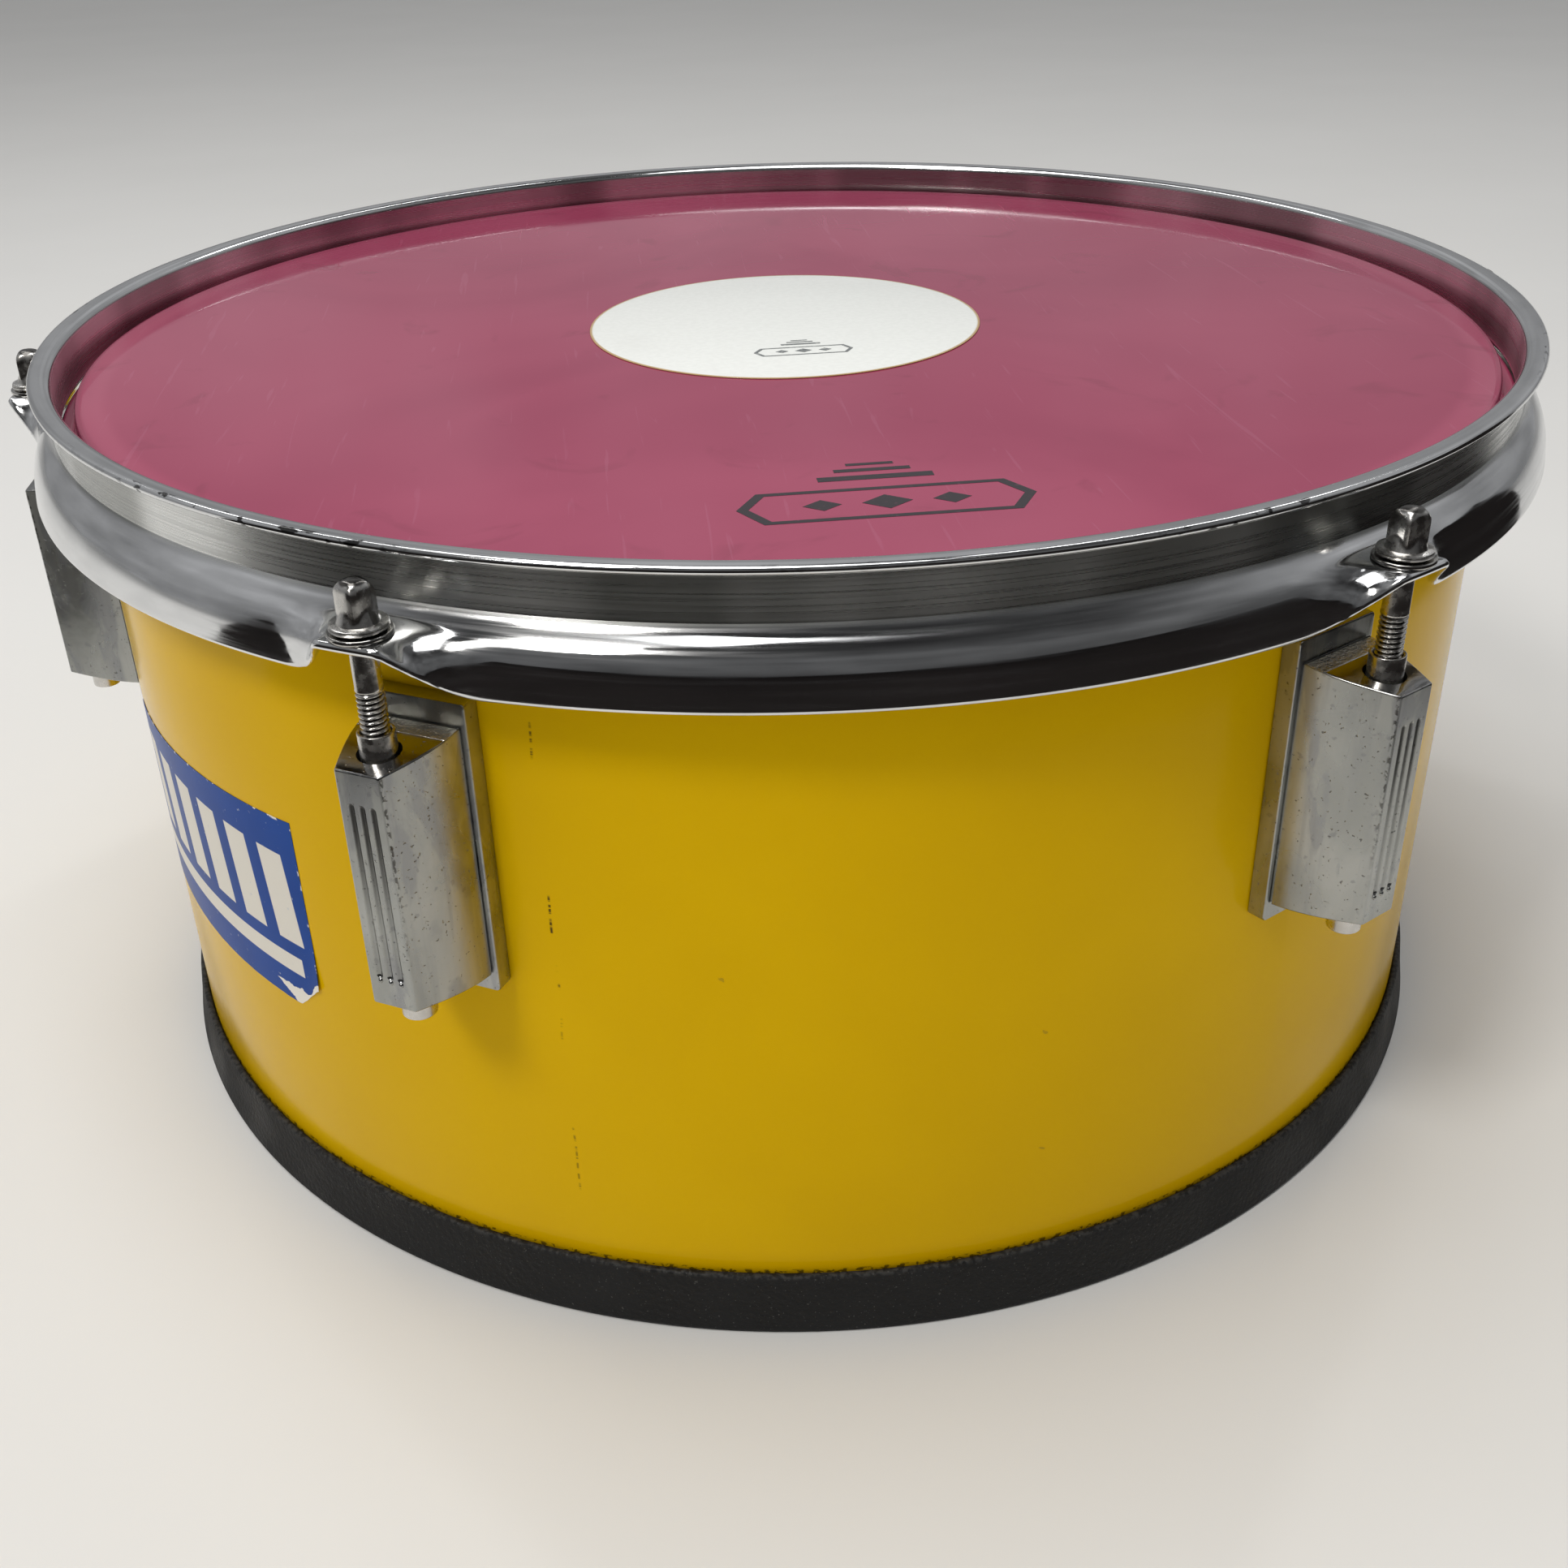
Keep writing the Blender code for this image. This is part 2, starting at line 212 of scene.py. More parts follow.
def at_station(piece, azimuth, radius=0.0):
    """Puts a piece that is modelled at azimuth 0 at its own station."""
    piece.rotation_euler.z = math.radians(azimuth)
    piece.location = at(azimuth, radius, 0.0)


def prism(bm, outline, start, end, axis="y"):
    """A closed prism in bm from an outline of (u, v) pairs: u is X and v is Z, or Y along axis z."""
    rows = []
    for reach in (start, end):
        if axis == "y":
            rows.append([bm.verts.new(Vector((u, -reach, v)) * MM) for u, v in outline])
        else:
            rows.append([bm.verts.new(Vector((u, v, reach)) * MM) for u, v in outline])
    count = len(outline)
    for i in range(count):
        j = (i + 1) % count
        bm.faces.new([rows[0][i], rows[0][j], rows[1][j], rows[1][i]])
    bm.faces.new(rows[0])
    bm.faces.new(rows[1])


def circle(x, y, radius, segments=24):
    turns = (2 * math.pi * i / segments for i in range(segments))
    return [(x + radius * math.cos(t), y + radius * math.sin(t)) for t in turns]


def mesh_from_prisms(name, prisms):
    """One mesh with a closed prism for each (outline, start, end, axis)."""
    bm = bmesh.new()
    for outline, start, end, axis in prisms:
        prism(bm, outline, start, end, axis)
    return finish_mesh(bm, name)


def boolean(mesh, *steps):
    """A new mesh from Boolean steps, each an (operation, mesh) pair."""
    target = add_object("boolean_target", mesh)
    tools = []
    for operation, other in steps:
        helper = add_object("boolean_tool", other)
        modifier = target.modifiers.new("cut", "BOOLEAN")
        modifier.solver = "EXACT"
        modifier.operation = operation
        modifier.object = helper
        tools.append(helper)
    graph = bpy.context.evaluated_depsgraph_get()
    result = bpy.data.meshes.new_from_object(target.evaluated_get(graph))
    for used in [target, *tools]:
        bpy.data.objects.remove(used)
    result.name = mesh.name
    return smooth(result)


def weight_normals(piece):
    modifier = piece.modifiers.new("even_shading", "WEIGHTED_NORMAL")
    modifier.keep_sharp = True


# ---------------------------------------------------------------- material helpers


class Look:
    """A Principled material, with short calls for the nodes that feed it."""

    def __init__(self, name, **sockets):
        self.material = bpy.data.materials.new(name)
        self.material.use_nodes = True
        self.tree = self.material.node_tree
        self.shader = self.tree.nodes["Principled BSDF"]
        for socket, value in sockets.items():
            self.shader.inputs[socket.replace("_", " ")].default_value = value
        coordinates = self.tree.nodes.new("ShaderNodeTexCoord")
        self.place = coordinates.outputs["Object"]
        info = self.tree.nodes.new("ShaderNodeObjectInfo")
        self.random = info.outputs["Random"]
        self.heights = []

    def feed(self, node, index, value):
        if isinstance(value, bpy.types.NodeSocket):
            self.tree.links.new(value, node.inputs[index])
        elif value is not None:
            node.inputs[index].default_value = value

    def math(self, operation, a, b=None, c=None):
        node = self.tree.nodes.new("ShaderNodeMath")
        node.operation = operation
        for index, value in enumerate((a, b, c)):
            self.feed(node, index, value)
        return node.outputs[0]

    def axes(self, vector=None):
        node = self.tree.nodes.new("ShaderNodeSeparateXYZ")
        self.feed(node, 0, vector or self.place)
        return node.outputs

    def vector(self, x, y, z):
        node = self.tree.nodes.new("ShaderNodeCombineXYZ")
        for index, value in enumerate((x, y, z)):
            self.feed(node, index, value)
        return node.outputs[0]

    def wrapped(self, radius):
        """Coordinates unrolled from a cylinder: azimuth times radius, distance from the axis, height."""
        x, y, z = self.axes()
        turn = self.math("ARCTAN2", x, self.math("MULTIPLY", y, -1.0))
        around = self.math("MULTIPLY", turn, radius * MM)
        reach = self.math("SQRT", self.math("ADD", self.math("MULTIPLY", x, x), self.math("MULTIPLY", y, y)))
        return around, reach, z

    def noise(self, scale, detail=2.0, vector=None, stretch=None, vary=False, distortion=0.0):
        """Fractal noise from 0 to 1. Its scale is in features per metre."""
        source = vector or self.place
        if stretch:
            node = self.tree.nodes.new("ShaderNodeVectorMath")
            node.operation = "MULTIPLY"
            self.feed(node, 0, source)
            node.inputs[1].default_value = stretch
            source = node.outputs[0]
        node = self.tree.nodes.new("ShaderNodeTexNoise")
        node.noise_dimensions = "4D" if vary else "3D"
        self.feed(node, "Vector", source)
        if vary:
            self.feed(node, "W", self.math("MULTIPLY", self.random, 40.0))
        node.inputs["Scale"].default_value = scale
        node.inputs["Detail"].default_value = detail
        node.inputs["Distortion"].default_value = distortion
        return node.outputs["Fac"]

    def ramp(self, value, start, end, low=0.0, high=1.0):
        """Maps start..end smoothly to low..high."""
        node = self.tree.nodes.new("ShaderNodeMapRange")
        node.interpolation_type = "SMOOTHSTEP"
        for index, number in enumerate((value, start, end, low, high)):
            self.feed(node, index, number)
        return node.outputs[0]

    def band(self, value, start, end, soft):
        """1 between start and end, with soft edges, and 0 outside."""
        rise = self.ramp(value, start - soft, start + soft)
        fall = self.ramp(value, end - soft, end + soft, 1.0, 0.0)
        return self.math("MULTIPLY", rise, fall)

    def times(self, *factors):
        result = factors[0]
        for factor in factors[1:]:
            result = self.math("MULTIPLY", result, factor)
        return result

    def plus(self, a, b):
        return self.math("ADD", a, b)

    def minus(self, a, b):
        return self.math("SUBTRACT", a, b)

    def either(self, *factors):
        result = factors[0]
        for factor in factors[1:]:
            result = self.math("MAXIMUM", result, factor)
        return result

    def mix(self, factor, first, second):
        node = self.tree.nodes.new("ShaderNodeMix")
        node.data_type = "RGBA"
        self.feed(node, 0, factor)
        for index, value in ((6, first), (7, second)):
            self.feed(node, index, (*value, 1.0) if isinstance(value, tuple) else value)
        return node.outputs[2]

    def blend_number(self, factor, first, second):
        node = self.tree.nodes.new("ShaderNodeMix")
        node.data_type = "FLOAT"
        for index, value in ((0, factor), (2, first), (3, second)):
            self.feed(node, index, value)
        return node.outputs[0]

    def colour(self, value):
        self.tree.links.new(value, self.shader.inputs["Base Color"])

    def roughness(self, value):
        self.tree.links.new(value, self.shader.inputs["Roughness"])

    def bump(self, height, depth):
        """Adds a relief. Its depth is in millimetres, and several reliefs add up."""
        self.heights.append(self.math("MULTIPLY", height, depth * MM))

    def finish(self):
        if self.heights:
            total = self.heights[0]
            for height in self.heights[1:]:
                total = self.math("ADD", total, height)
            node = self.tree.nodes.new("ShaderNodeBump")
            node.inputs["Distance"].default_value = 1.0
            self.feed(node, "Height", total)
            self.tree.links.new(node.outputs[0], self.shader.inputs["Normal"])
        return self.material


# ---------------------------------------------------------------- materials


# Seam nicks: the bottom and top of each cluster in millimetres, and how dark it is
SEAM_NICKS = (
    (34.5, 52.0, 0.6),
    (75.5, 81.5, 0.35),
    (89.4, 90.4, 1.0),
    (94.0, 94.9, 0.7),
    (102.7, 112.0, 1.0),
    (143.5, 151.0, 0.85),
)


# Scuffs on the wrap: azimuth in degrees, then height, width and depth in millimetres
SCUFFS = (
    (10.05, 75.0, 0.9, 0.5),
    (10.35, 42.9, 0.9, 0.4),
    (-11.75, 95.3, 0.8, 0.5),
)


def yellow_lacquer():
    """Glossy yellow wrap: faint cloudiness, a nicked seam, chipped bottom edge, a few scuffs."""
    look = Look("yellow_lacquer", Roughness=0.15, Specular_IOR_Level=0.045)
    around, _, height = look.wrapped(SHELL_RADIUS)
    sheet = look.vector(around, height, 0.0)
    cloud = look.noise(14.0, 3.0)
    base = look.mix(look.ramp(cloud, 0.3, 0.7), (0.76, 0.462, 0.0), (0.71, 0.424, 0.0))
    # seam: short upright nicks in a few clusters along one line
    seam = SHELL_RADIUS * math.radians(-22.9) * MM
    wander = look.ramp(look.noise(60.0, 1.0), 0.2, 0.8, -0.0004, 0.0004)
    off_seam = look.math("ABSOLUTE", look.minus(look.minus(around, seam), wander))
    on_seam = look.ramp(off_seam, 0.00008, 0.0004, 1.0, 0.0)
    dashes = look.ramp(look.noise(640.0, 2.0, vector=look.vector(0.0, height, 0.0)), 0.47, 0.53)
    clusters = []
    for bottom, top, strength in SEAM_NICKS:
        clusters.append(look.times(look.band(height, bottom * MM, top * MM, 0.0006), strength))
    nicks = look.times(on_seam, dashes, look.either(*clusters))
    # crumbled edge above the rubber, and the shade that gathers there
    crumbs = look.ramp(look.noise(520.0, 4.0, vector=sheet), 0.5, 0.58)
    edge = look.ramp(height, (RIM_TOP + 0.1) * MM, (RIM_TOP + 0.75) * MM, 1.0, 0.0)
    grime = look.times(crumbs, edge)
    shade = look.ramp(height, RIM_TOP * MM, (RIM_TOP + 6.5) * MM, 0.38, 0.0)
    base = look.mix(shade, base, (0.45, 0.25, 0.0))
    marks = []
    for azimuth, centre, width, tall in SCUFFS:
        across = look.minus(around, SHELL_RADIUS * math.radians(azimuth) * MM)
        along = look.minus(height, centre * MM)
        across = look.math("DIVIDE", across, width * MM)
        along = look.math("DIVIDE", look.plus(along, look.times(across, 0.0003)), tall * MM)
        span = look.plus(look.times(across, across), look.times(along, along))
        ragged = look.plus(span, look.ramp(look.noise(1500.0, 2.0), 0.2, 0.8, -0.5, 0.9))
        marks.append(look.ramp(ragged, 0.5, 1.1, 0.55, 0.0))
    scuffs = look.either(*marks)
    base = look.mix(look.times(nicks, 0.95), base, (0.06, 0.03, 0.008))
    base = look.mix(look.times(grime, 0.8), base, (0.05, 0.028, 0.006))
    base = look.mix(scuffs, base, (0.33, 0.2, 0.02))
    look.colour(base)
    look.bump(look.noise(90.0, 2.0, vector=sheet), 0.02)
    look.bump(look.noise(900.0, 1.0, vector=sheet), 0.0006)
    look.bump(look.either(nicks, grime), -0.08)
    return look.finish()


def plywood():
    """Pale birch inside: long grain round the shell, and ply layers on the cut edges."""
    look = Look("birch_ply", Roughness=0.55)
    around, reach, height = look.wrapped(SHELL_RADIUS)
    sheet = look.vector(around, reach, height)
    grain = look.noise(55.0, 5.0, vector=sheet, stretch=(1.0, 1.0, 14.0), distortion=0.6)
    fibre = look.noise(420.0, 3.0, vector=sheet, stretch=(0.12, 1.0, 2.4))
    wood = look.mix(look.ramp(grain, 0.3, 0.7), (0.58, 0.37, 0.19), (0.72, 0.5, 0.29))
    wood = look.mix(look.ramp(fibre, 0.35, 0.65, 0.0, 0.35), wood, (0.42, 0.25, 0.12))
    layers = look.math("PINGPONG", look.plus(reach, 0.0003), 0.001)
    glue = look.ramp(layers, 0.00008, 0.0003, 0.6, 0.0)
    cut = look.either(look.ramp(height, 0.1752, 0.1756), look.ramp(height, 0.0026, 0.003, 1.0, 0.0))
    wood = look.mix(look.times(glue, cut), wood, (0.2, 0.11, 0.05))
    look.colour(wood)
    look.roughness(look.ramp(fibre, 0.3, 0.7, 0.5, 0.65))
    look.bump(fibre, 0.05)
    return look.finish()


def black_rubber():
    """Matte black rubber with a pebbled skin, dust specks and a rubbed upper edge."""
    look = Look("black_rubber", Roughness=0.75, Specular_IOR_Level=0.28)
    fine = look.noise(800.0, 4.0)
    patchy = look.noise(45.0, 4.0)
    dust = look.ramp(look.noise(2100.0, 1.0), 0.7, 0.76)
    base = look.mix(look.ramp(patchy, 0.35, 0.7), (0.006, 0.006, 0.0062), (0.014, 0.014, 0.0142))
    base = look.mix(look.times(dust, 0.45), base, (0.16, 0.155, 0.145))
    _, _, height = look.axes()
    rubbed = look.ramp(height, (RIM_TOP - 1.1) * MM, (RIM_TOP - 0.2) * MM)
    base = look.mix(look.times(rubbed, look.ramp(fine, 0.4, 0.6), 0.3), base, (0.1, 0.097, 0.09))
    look.colour(base)
    look.roughness(look.ramp(patchy, 0.3, 0.7, 0.5, 0.75))
    look.bump(fine, 0.35)
    look.bump(patchy, 0.35)
    return look.finish()


def pink_film():
    """Tinted drum film: glossy, with faint scratches, dark blotches of painted reflection, and a paler ring
    of painted highlight near its edge.
    """
    look = Look("pink_film", Roughness=0.07, Specular_IOR_Level=0.4)
    _, reach, _ = look.wrapped(100.0)
    cloud = look.noise(9.0, 3.0, distortion=0.8)
    base = look.mix(look.ramp(cloud, 0.3, 0.7), (0.28, 0.036, 0.085), (0.33, 0.05, 0.105))
    # painted highlight: a paler ring towards the film's edge, where it bends over the bearing edge
    rim = look.ramp(reach, 0.1695, 0.1735)
    base = look.mix(look.times(rim, 0.5), base, (0.38, 0.07, 0.13))
    # painted reflection: soft dark blotches across the film
    reflection_blotches = look.ramp(look.noise(38.0, 5.0, distortion=1.2), 0.6, 0.72, 0.0, 0.35)
    base = look.mix(reflection_blotches, base, (0.2, 0.022, 0.055))
    scratches = look.ramp(look.noise(260.0, 2.0, stretch=(1.0, 0.05, 1.0), distortion=2.0), 0.66, 0.72)
    base = look.mix(look.times(scratches, 0.1), base, (0.5, 0.2, 0.3))
    look.colour(base)
    look.roughness(look.ramp(look.noise(30.0, 4.0), 0.3, 0.7, 0.04, 0.09))
    look.bump(look.noise(7.0, 1.0), 0.12)
    return look.finish()


def white_patch():
    """Coated white dot with a yellowed glue line at its edge."""
    look = Look("white_patch", Roughness=0.35, Coat_Weight=0.4, Coat_Roughness=0.1)
    _, reach, _ = look.wrapped(100.0)
    edge = look.ramp(reach, (PATCH_RADIUS - 0.9) * MM, (PATCH_RADIUS - 0.3) * MM)
    grain = look.noise(700.0, 2.0)
    smudge = look.ramp(look.noise(35.0, 4.0), 0.55, 0.75, 0.0, 0.25)
    base = look.mix(look.ramp(grain, 0.3, 0.7), (0.79, 0.8, 0.76), (0.83, 0.84, 0.8))
    base = look.mix(smudge, base, (0.72, 0.72, 0.68))
    base = look.mix(edge, base, (0.46, 0.3, 0.12))
    look.colour(base)
    look.bump(grain, 0.01)
    return look.finish()


def print_ink():
    look = Look("print_ink", Roughness=0.35)
    worn = look.ramp(look.noise(900.0, 3.0), 0.62, 0.72, 0.0, 0.35)
    look.colour(look.mix(worn, (0.022, 0.016, 0.02), (0.16, 0.05, 0.09)))
    return look.finish()


def faded_ink():
    look = Look("faded_ink", Roughness=0.4)
    worn = look.ramp(look.noise(900.0, 3.0), 0.5, 0.7, 0.0, 0.6)
    look.colour(look.mix(worn, (0.16, 0.17, 0.17), (0.5, 0.51, 0.48)))
    return look.finish()


def hoop_chrome():
    """Chromed steel: brushed wall with soft upright smears of painted reflection, polished rolled lip,
    chipped top edge.
    """
    look = Look("hoop_chrome", Metallic=1.0, Roughness=0.1)
    around, reach, height = look.wrapped(186.0)
    sheet = look.vector(around, height, reach)
    wall = look.times(look.band(height, 0.1755, 0.1866, 0.0006), look.ramp(reach, 0.1845, 0.1852, 1.0, 0.0))
    brushed = look.noise(2600.0, 3.0, vector=sheet, stretch=(0.004, 1.0, 1.0))
    reflection_smear = look.noise(20.0, 2.0, vector=sheet, stretch=(1.0, 0.08, 1.0))
    worn = look.noise(160.0, 4.0, vector=sheet, stretch=(0.4, 1.0, 1.0))
    drawn = look.noise(900.0, 3.0, vector=sheet, stretch=(0.03, 1.0, 1.0))
    # painted reflection: the wall's light and dark upright smears
    base = look.mix(look.ramp(reflection_smear, 0.42, 0.6), (0.34, 0.345, 0.33), (0.74, 0.745, 0.73))
    base = look.mix(look.ramp(brushed, 0.3, 0.7, 0.0, 0.12), base, (0.3, 0.3, 0.3))
    chrome = look.mix(look.ramp(worn, 0.35, 0.65), (0.68, 0.685, 0.69), (0.76, 0.765, 0.77))
    base = look.mix(wall, chrome, base)
    chips = look.ramp(look.noise(620.0, 4.0, vector=sheet, stretch=(0.45, 1.0, 1.0)), 0.57, 0.61)
    chips = look.times(chips, look.ramp(look.noise(11.0, 1.0, vector=sheet), 0.52, 0.6))
    rim = look.times(look.ramp(height, 0.1862, 0.187), look.ramp(reach, 0.1859, 0.1863))
    base = look.mix(look.times(chips, rim, 0.92), base, (0.03, 0.028, 0.026))
    look.colour(base)
    lip_rough = look.ramp(drawn, 0.35, 0.65, 0.06, 0.17)
    wall_rough = look.ramp(brushed, 0.3, 0.7, 0.25, 0.34)
    look.roughness(look.blend_number(wall, lip_rough, wall_rough))
    look.bump(look.times(brushed, wall), 0.004)
    look.bump(look.noise(45.0, 2.0, vector=sheet), 0.03)
    return look.finish()


def lug_chrome():
    """Die-cast lug under tired chrome: stained, pitted sides, a scratched corner, brighter end faces."""
    look = Look("lug_chrome", Metallic=1.0, Roughness=0.3)
    cloud = look.noise(75.0, 4.0, vary=True, distortion=0.7, stretch=(1.0, 1.0, 0.5))
    pits = look.ramp(look.noise(1500.0, 2.0, vary=True), 0.66, 0.72)
    specks = look.ramp(look.noise(420.0, 4.0, vary=True), 0.62, 0.68)
    across, back, height = look.axes()
    _, _, up = look.axes(look.tree.nodes.new("ShaderNodeNewGeometry").outputs["Normal"])
    ends = look.ramp(look.math("ABSOLUTE", up), 0.6, 0.85)
    streaks = look.noise(330.0, 4.0, vary=True, stretch=(1.0, 1.0, 0.07), distortion=0.5)
    stains = look.ramp(look.noise(95.0, 5.0, vary=True, stretch=(1.0, 1.0, 0.3), distortion=1.4), 0.53, 0.6)
    base = look.mix(look.ramp(cloud, 0.3, 0.7), (0.33, 0.335, 0.315), (0.5, 0.505, 0.48))
    base = look.mix(look.times(stains, 0.42), base, (0.24, 0.245, 0.27))
    base = look.mix(look.ramp(streaks, 0.5, 0.75, 0.0, 0.4), base, (0.24, 0.245, 0.26))
    base = look.mix(look.times(specks, 0.45), base, (0.22, 0.22, 0.23))
    base = look.mix(look.times(pits, 0.75), base, (0.14, 0.135, 0.13))
    # the upright corner between the front and each side, worn through in dark specks
    side = look.math("ABSOLUTE", across)
    corner = look.times(
        look.band(side, 0.00485, 0.0052, 0.00012),
        look.ramp(look.times(back, -1.0), (LUG_FRONT - 1.4) * MM, (LUG_FRONT - 0.6) * MM),
        look.ramp(height, 0.1, 0.135),
    )
    nicks = look.ramp(look.noise(1500.0, 3.0, vary=True, stretch=(1.0, 1.0, 0.6)), 0.48, 0.56)
    base = look.mix(look.times(corner, nicks, 0.85), base, (0.06, 0.055, 0.05))
    # painted shade in the three grooves, heavier towards their tops
    reach = look.times(back, -1.0)
    sunk = look.ramp(reach, (LUG_FRONT - 0.36) * MM, (LUG_FRONT - 0.06) * MM, 1.0, 0.0)
    front = look.times(look.band(side, -1.0, 0.0034, 0.0001), look.ramp(reach, 0.1995, 0.2))
    heavier = look.ramp(height, 0.112, 0.136, 0.22, 0.9)
    groove_shade = look.times(sunk, front, heavier, look.ramp(streaks, 0.3, 0.6, 0.6, 1.0))
    base = look.mix(groove_shade, base, (0.05, 0.048, 0.045))
    base = look.mix(look.times(ends, 0.8), base, (0.42, 0.415, 0.41))
    cast = look.times(ends, look.band(reach, 0.1826, 0.1868, 0.0002))
    base = look.mix(cast, base, (0.75, 0.73, 0.66))
    look.bump(look.times(look.noise(1300.0, 3.0, vary=True), cast), 0.5)
    look.colour(base)
    dull = look.ramp(cloud, 0.3, 0.7, 0.22, 0.36)
    look.roughness(look.blend_number(ends, dull, 0.12))
    look.bump(pits, -0.05)
    look.bump(cloud, 0.1)
    look.bump(look.noise(300.0, 3.0, vary=True), 0.012)
    return look.finish()


def plated_metal(name, dark, light, roughness, relief=0.003, groove=None):
    """Small plated hardware with wear and tarnish. A groove is a radius that painted shade darkens inside."""
    look = Look(name, Metallic=1.0, Roughness=roughness)
    worn = look.noise(520.0, 4.0, vary=True)
    tarnish = look.ramp(look.noise(160.0, 4.0, vary=True), 0.58, 0.7)
    base = look.mix(look.ramp(worn, 0.3, 0.7), dark, light)
    stain = tuple(0.45 * part for part in dark)
    base = look.mix(look.times(tarnish, 0.35), base, (stain[0] * 1.1, stain[1], stain[2] * 0.85))
    if groove:
        _, reach, _ = look.wrapped(groove)
        # painted shade: darker inside the groove, such as a thread's roots
        groove_shade = look.ramp(reach, (groove - 0.2) * MM, (groove + 0.15) * MM, 0.85, 0.0)
        base = look.mix(groove_shade, base, (0.05, 0.045, 0.04))
    look.colour(base)
    look.roughness(look.ramp(worn, 0.3, 0.75, roughness * 0.7, roughness * 1.6))
    look.bump(worn, relief)
    return look.finish()


def brushed_aluminium():
    look = Look("flesh_aluminium", Metallic=1.0, Roughness=0.35)
    around, reach, height = look.wrapped(183.0)
    lines = look.noise(2400.0, 2.0, vector=look.vector(around, height, reach), stretch=(0.02, 1.0, 1.0))
    look.colour(look.mix(look.ramp(lines, 0.3, 0.7), (0.5, 0.5, 0.51), (0.68, 0.68, 0.69)))
    look.roughness(look.ramp(lines, 0.3, 0.7, 0.28, 0.45))
    look.bump(lines, 0.02)
    return look.finish()


# The label's ends as azimuths, its edges in millimetres, and how much its top rises from first to last
LABEL_FIRST, LABEL_LAST = -72.7, -44.3
LABEL_LOW, LABEL_HIGH, LABEL_RISE = 60.6, 109.1, 3.5
LABEL_TEAR = 2.8  # degrees of the torn corner


def blue_label():
    """Blue printed label with slanted white bars and a rule, and white paper where it is torn."""
    look = Look("blue_label", Roughness=0.35, Specular_IOR_Level=0.06)
    around, _, height = look.wrapped(SHELL_RADIUS)
    x = look.minus(around, SHELL_RADIUS * math.radians(LABEL_LAST) * MM)
    slanted = look.minus(look.plus(x, look.times(height, 0.1)), 0.0075)
    phase = look.math("WRAP", slanted, 0.0, 0.0142)
    bars = look.times(
        look.band(phase, 0.0022, 0.0112, 0.00012),
        look.band(height, 0.0785, 0.1025, 0.00012),
        look.ramp(slanted, -0.0012, -0.001, 1.0, 0.0),
    )
    rule = look.times(look.band(height, 0.0695, 0.0745, 0.0001), look.ramp(x, -0.0054, -0.0052, 1.0, 0.0))
    # a torn strip near the lower edge that widens to the corner, and the corner itself
    ragged = look.ramp(look.noise(420.0, 4.0), 0.3, 0.7, -0.0007, 0.0007)
    share = look.ramp(x, -0.021, -0.0075)
    strip = look.plus(look.times(share, 0.0024), look.minus(height, 0.0652))
    strip = look.math("ABSOLUTE", look.plus(strip, look.times(ragged, share)))
    strip = look.minus(strip, look.blend_number(share, -0.0006, 0.0023))
    corner = look.minus(height, look.times(look.plus(x, 0.0084), 0.976))
    corner = look.plus(look.minus(corner, 0.0608), ragged)
    torn = look.either(look.ramp(strip, 0.0, 0.0002, 1.0, 0.0), look.ramp(corner, 0.001, 0.0012, 1.0, 0.0))
    # chipped edges
    to_top = look.minus(look.plus(look.times(x, 0.0397), 0.1126), height)
    near_edge = look.either(look.ramp(to_top, 0.0002, 0.0007, 1.0, 0.0), look.ramp(x, -0.0006, -0.0001))
    chips = look.times(near_edge, look.ramp(look.noise(380.0, 4.0), 0.57, 0.63))
    worn = look.ramp(look.noise(600.0, 4.0), 0.68, 0.74, 0.0, 0.5)
    blue = look.mix(look.ramp(look.noise(40.0, 3.0), 0.3, 0.7), (0.007, 0.052, 0.262), (0.01, 0.062, 0.3))
    base = look.mix(look.either(bars, rule), blue, (0.74, 0.7, 0.62))
    base = look.mix(worn, base, (0.5, 0.53, 0.58))
    base = look.mix(look.either(torn, chips), base, (0.82, 0.78, 0.7))
    look.colour(base)
    look.roughness(look.blend_number(torn, 0.3, 0.8))
    look.bump(torn, -0.06)
    look.bump(look.noise(120.0, 3.0), 0.02)
    return look.finish()


def pale_floor():
    look = Look("pale_floor", Roughness=0.7)
    look.colour(look.mix(look.noise(6.0, 4.0), (0.7, 0.69, 0.665), (0.74, 0.73, 0.705)))
    return look.finish()


# ---------------------------------------------------------------- shell, rim, head, hoop


SCREW_HOLE = 2.6  # radius of the holes in the shell
RIM_INNER = 169.3


def make_shell(lacquer, ply):
    inner = SHELL_RADIUS - SHELL_WALL
    crown = SHELL_TOP - 1.7
    profile = [
        (inner, SHELL_BOTTOM),
        (SHELL_RADIUS, SHELL_BOTTOM),
        (SHELL_RADIUS, crown),
        (SHELL_RADIUS - 0.3, crown + 0.75),
        (SHELL_RADIUS - 1.1, crown + 1.45),
        (SHELL_RADIUS - 1.9, SHELL_TOP),
        (SHELL_RADIUS - 2.6, SHELL_TOP - 0.15),
        (inner, SHELL_TOP - 4.1),
    ]
    mesh = turned("drum_shell_wrap", rounded(profile, 0.3, 2), 240)
    bm = bmesh.new()
    for azimuth in STATIONS.values():
        turn = Matrix.Rotation(math.radians(azimuth), 4, "Z")
        for height in SCREW_HEIGHTS:
            start = len(bm.verts)
            prism(bm, circle(0, height, SCREW_HOLE, 20), inner - 3, SHELL_RADIUS + 3)
            bm.verts.ensure_lookup_table()
            bmesh.ops.transform(bm, matrix=turn, verts=bm.verts[start:])
    mesh = boolean(mesh, ("DIFFERENCE", finish_mesh(bm, "screw_holes")))
    mesh.materials.clear()
    mesh.materials.append(lacquer)
    mesh.materials.append(ply)
    for face in mesh.polygons:
        away = math.hypot(face.center.x, face.center.y)
        outer = away > (SHELL_RADIUS - 0.4) * MM and face.center.z < crown * MM
        face.material_index = 0 if outer else 1
    place(add_object("shell_body", mesh), "drum_shell", "lacquered_ply", "shell")


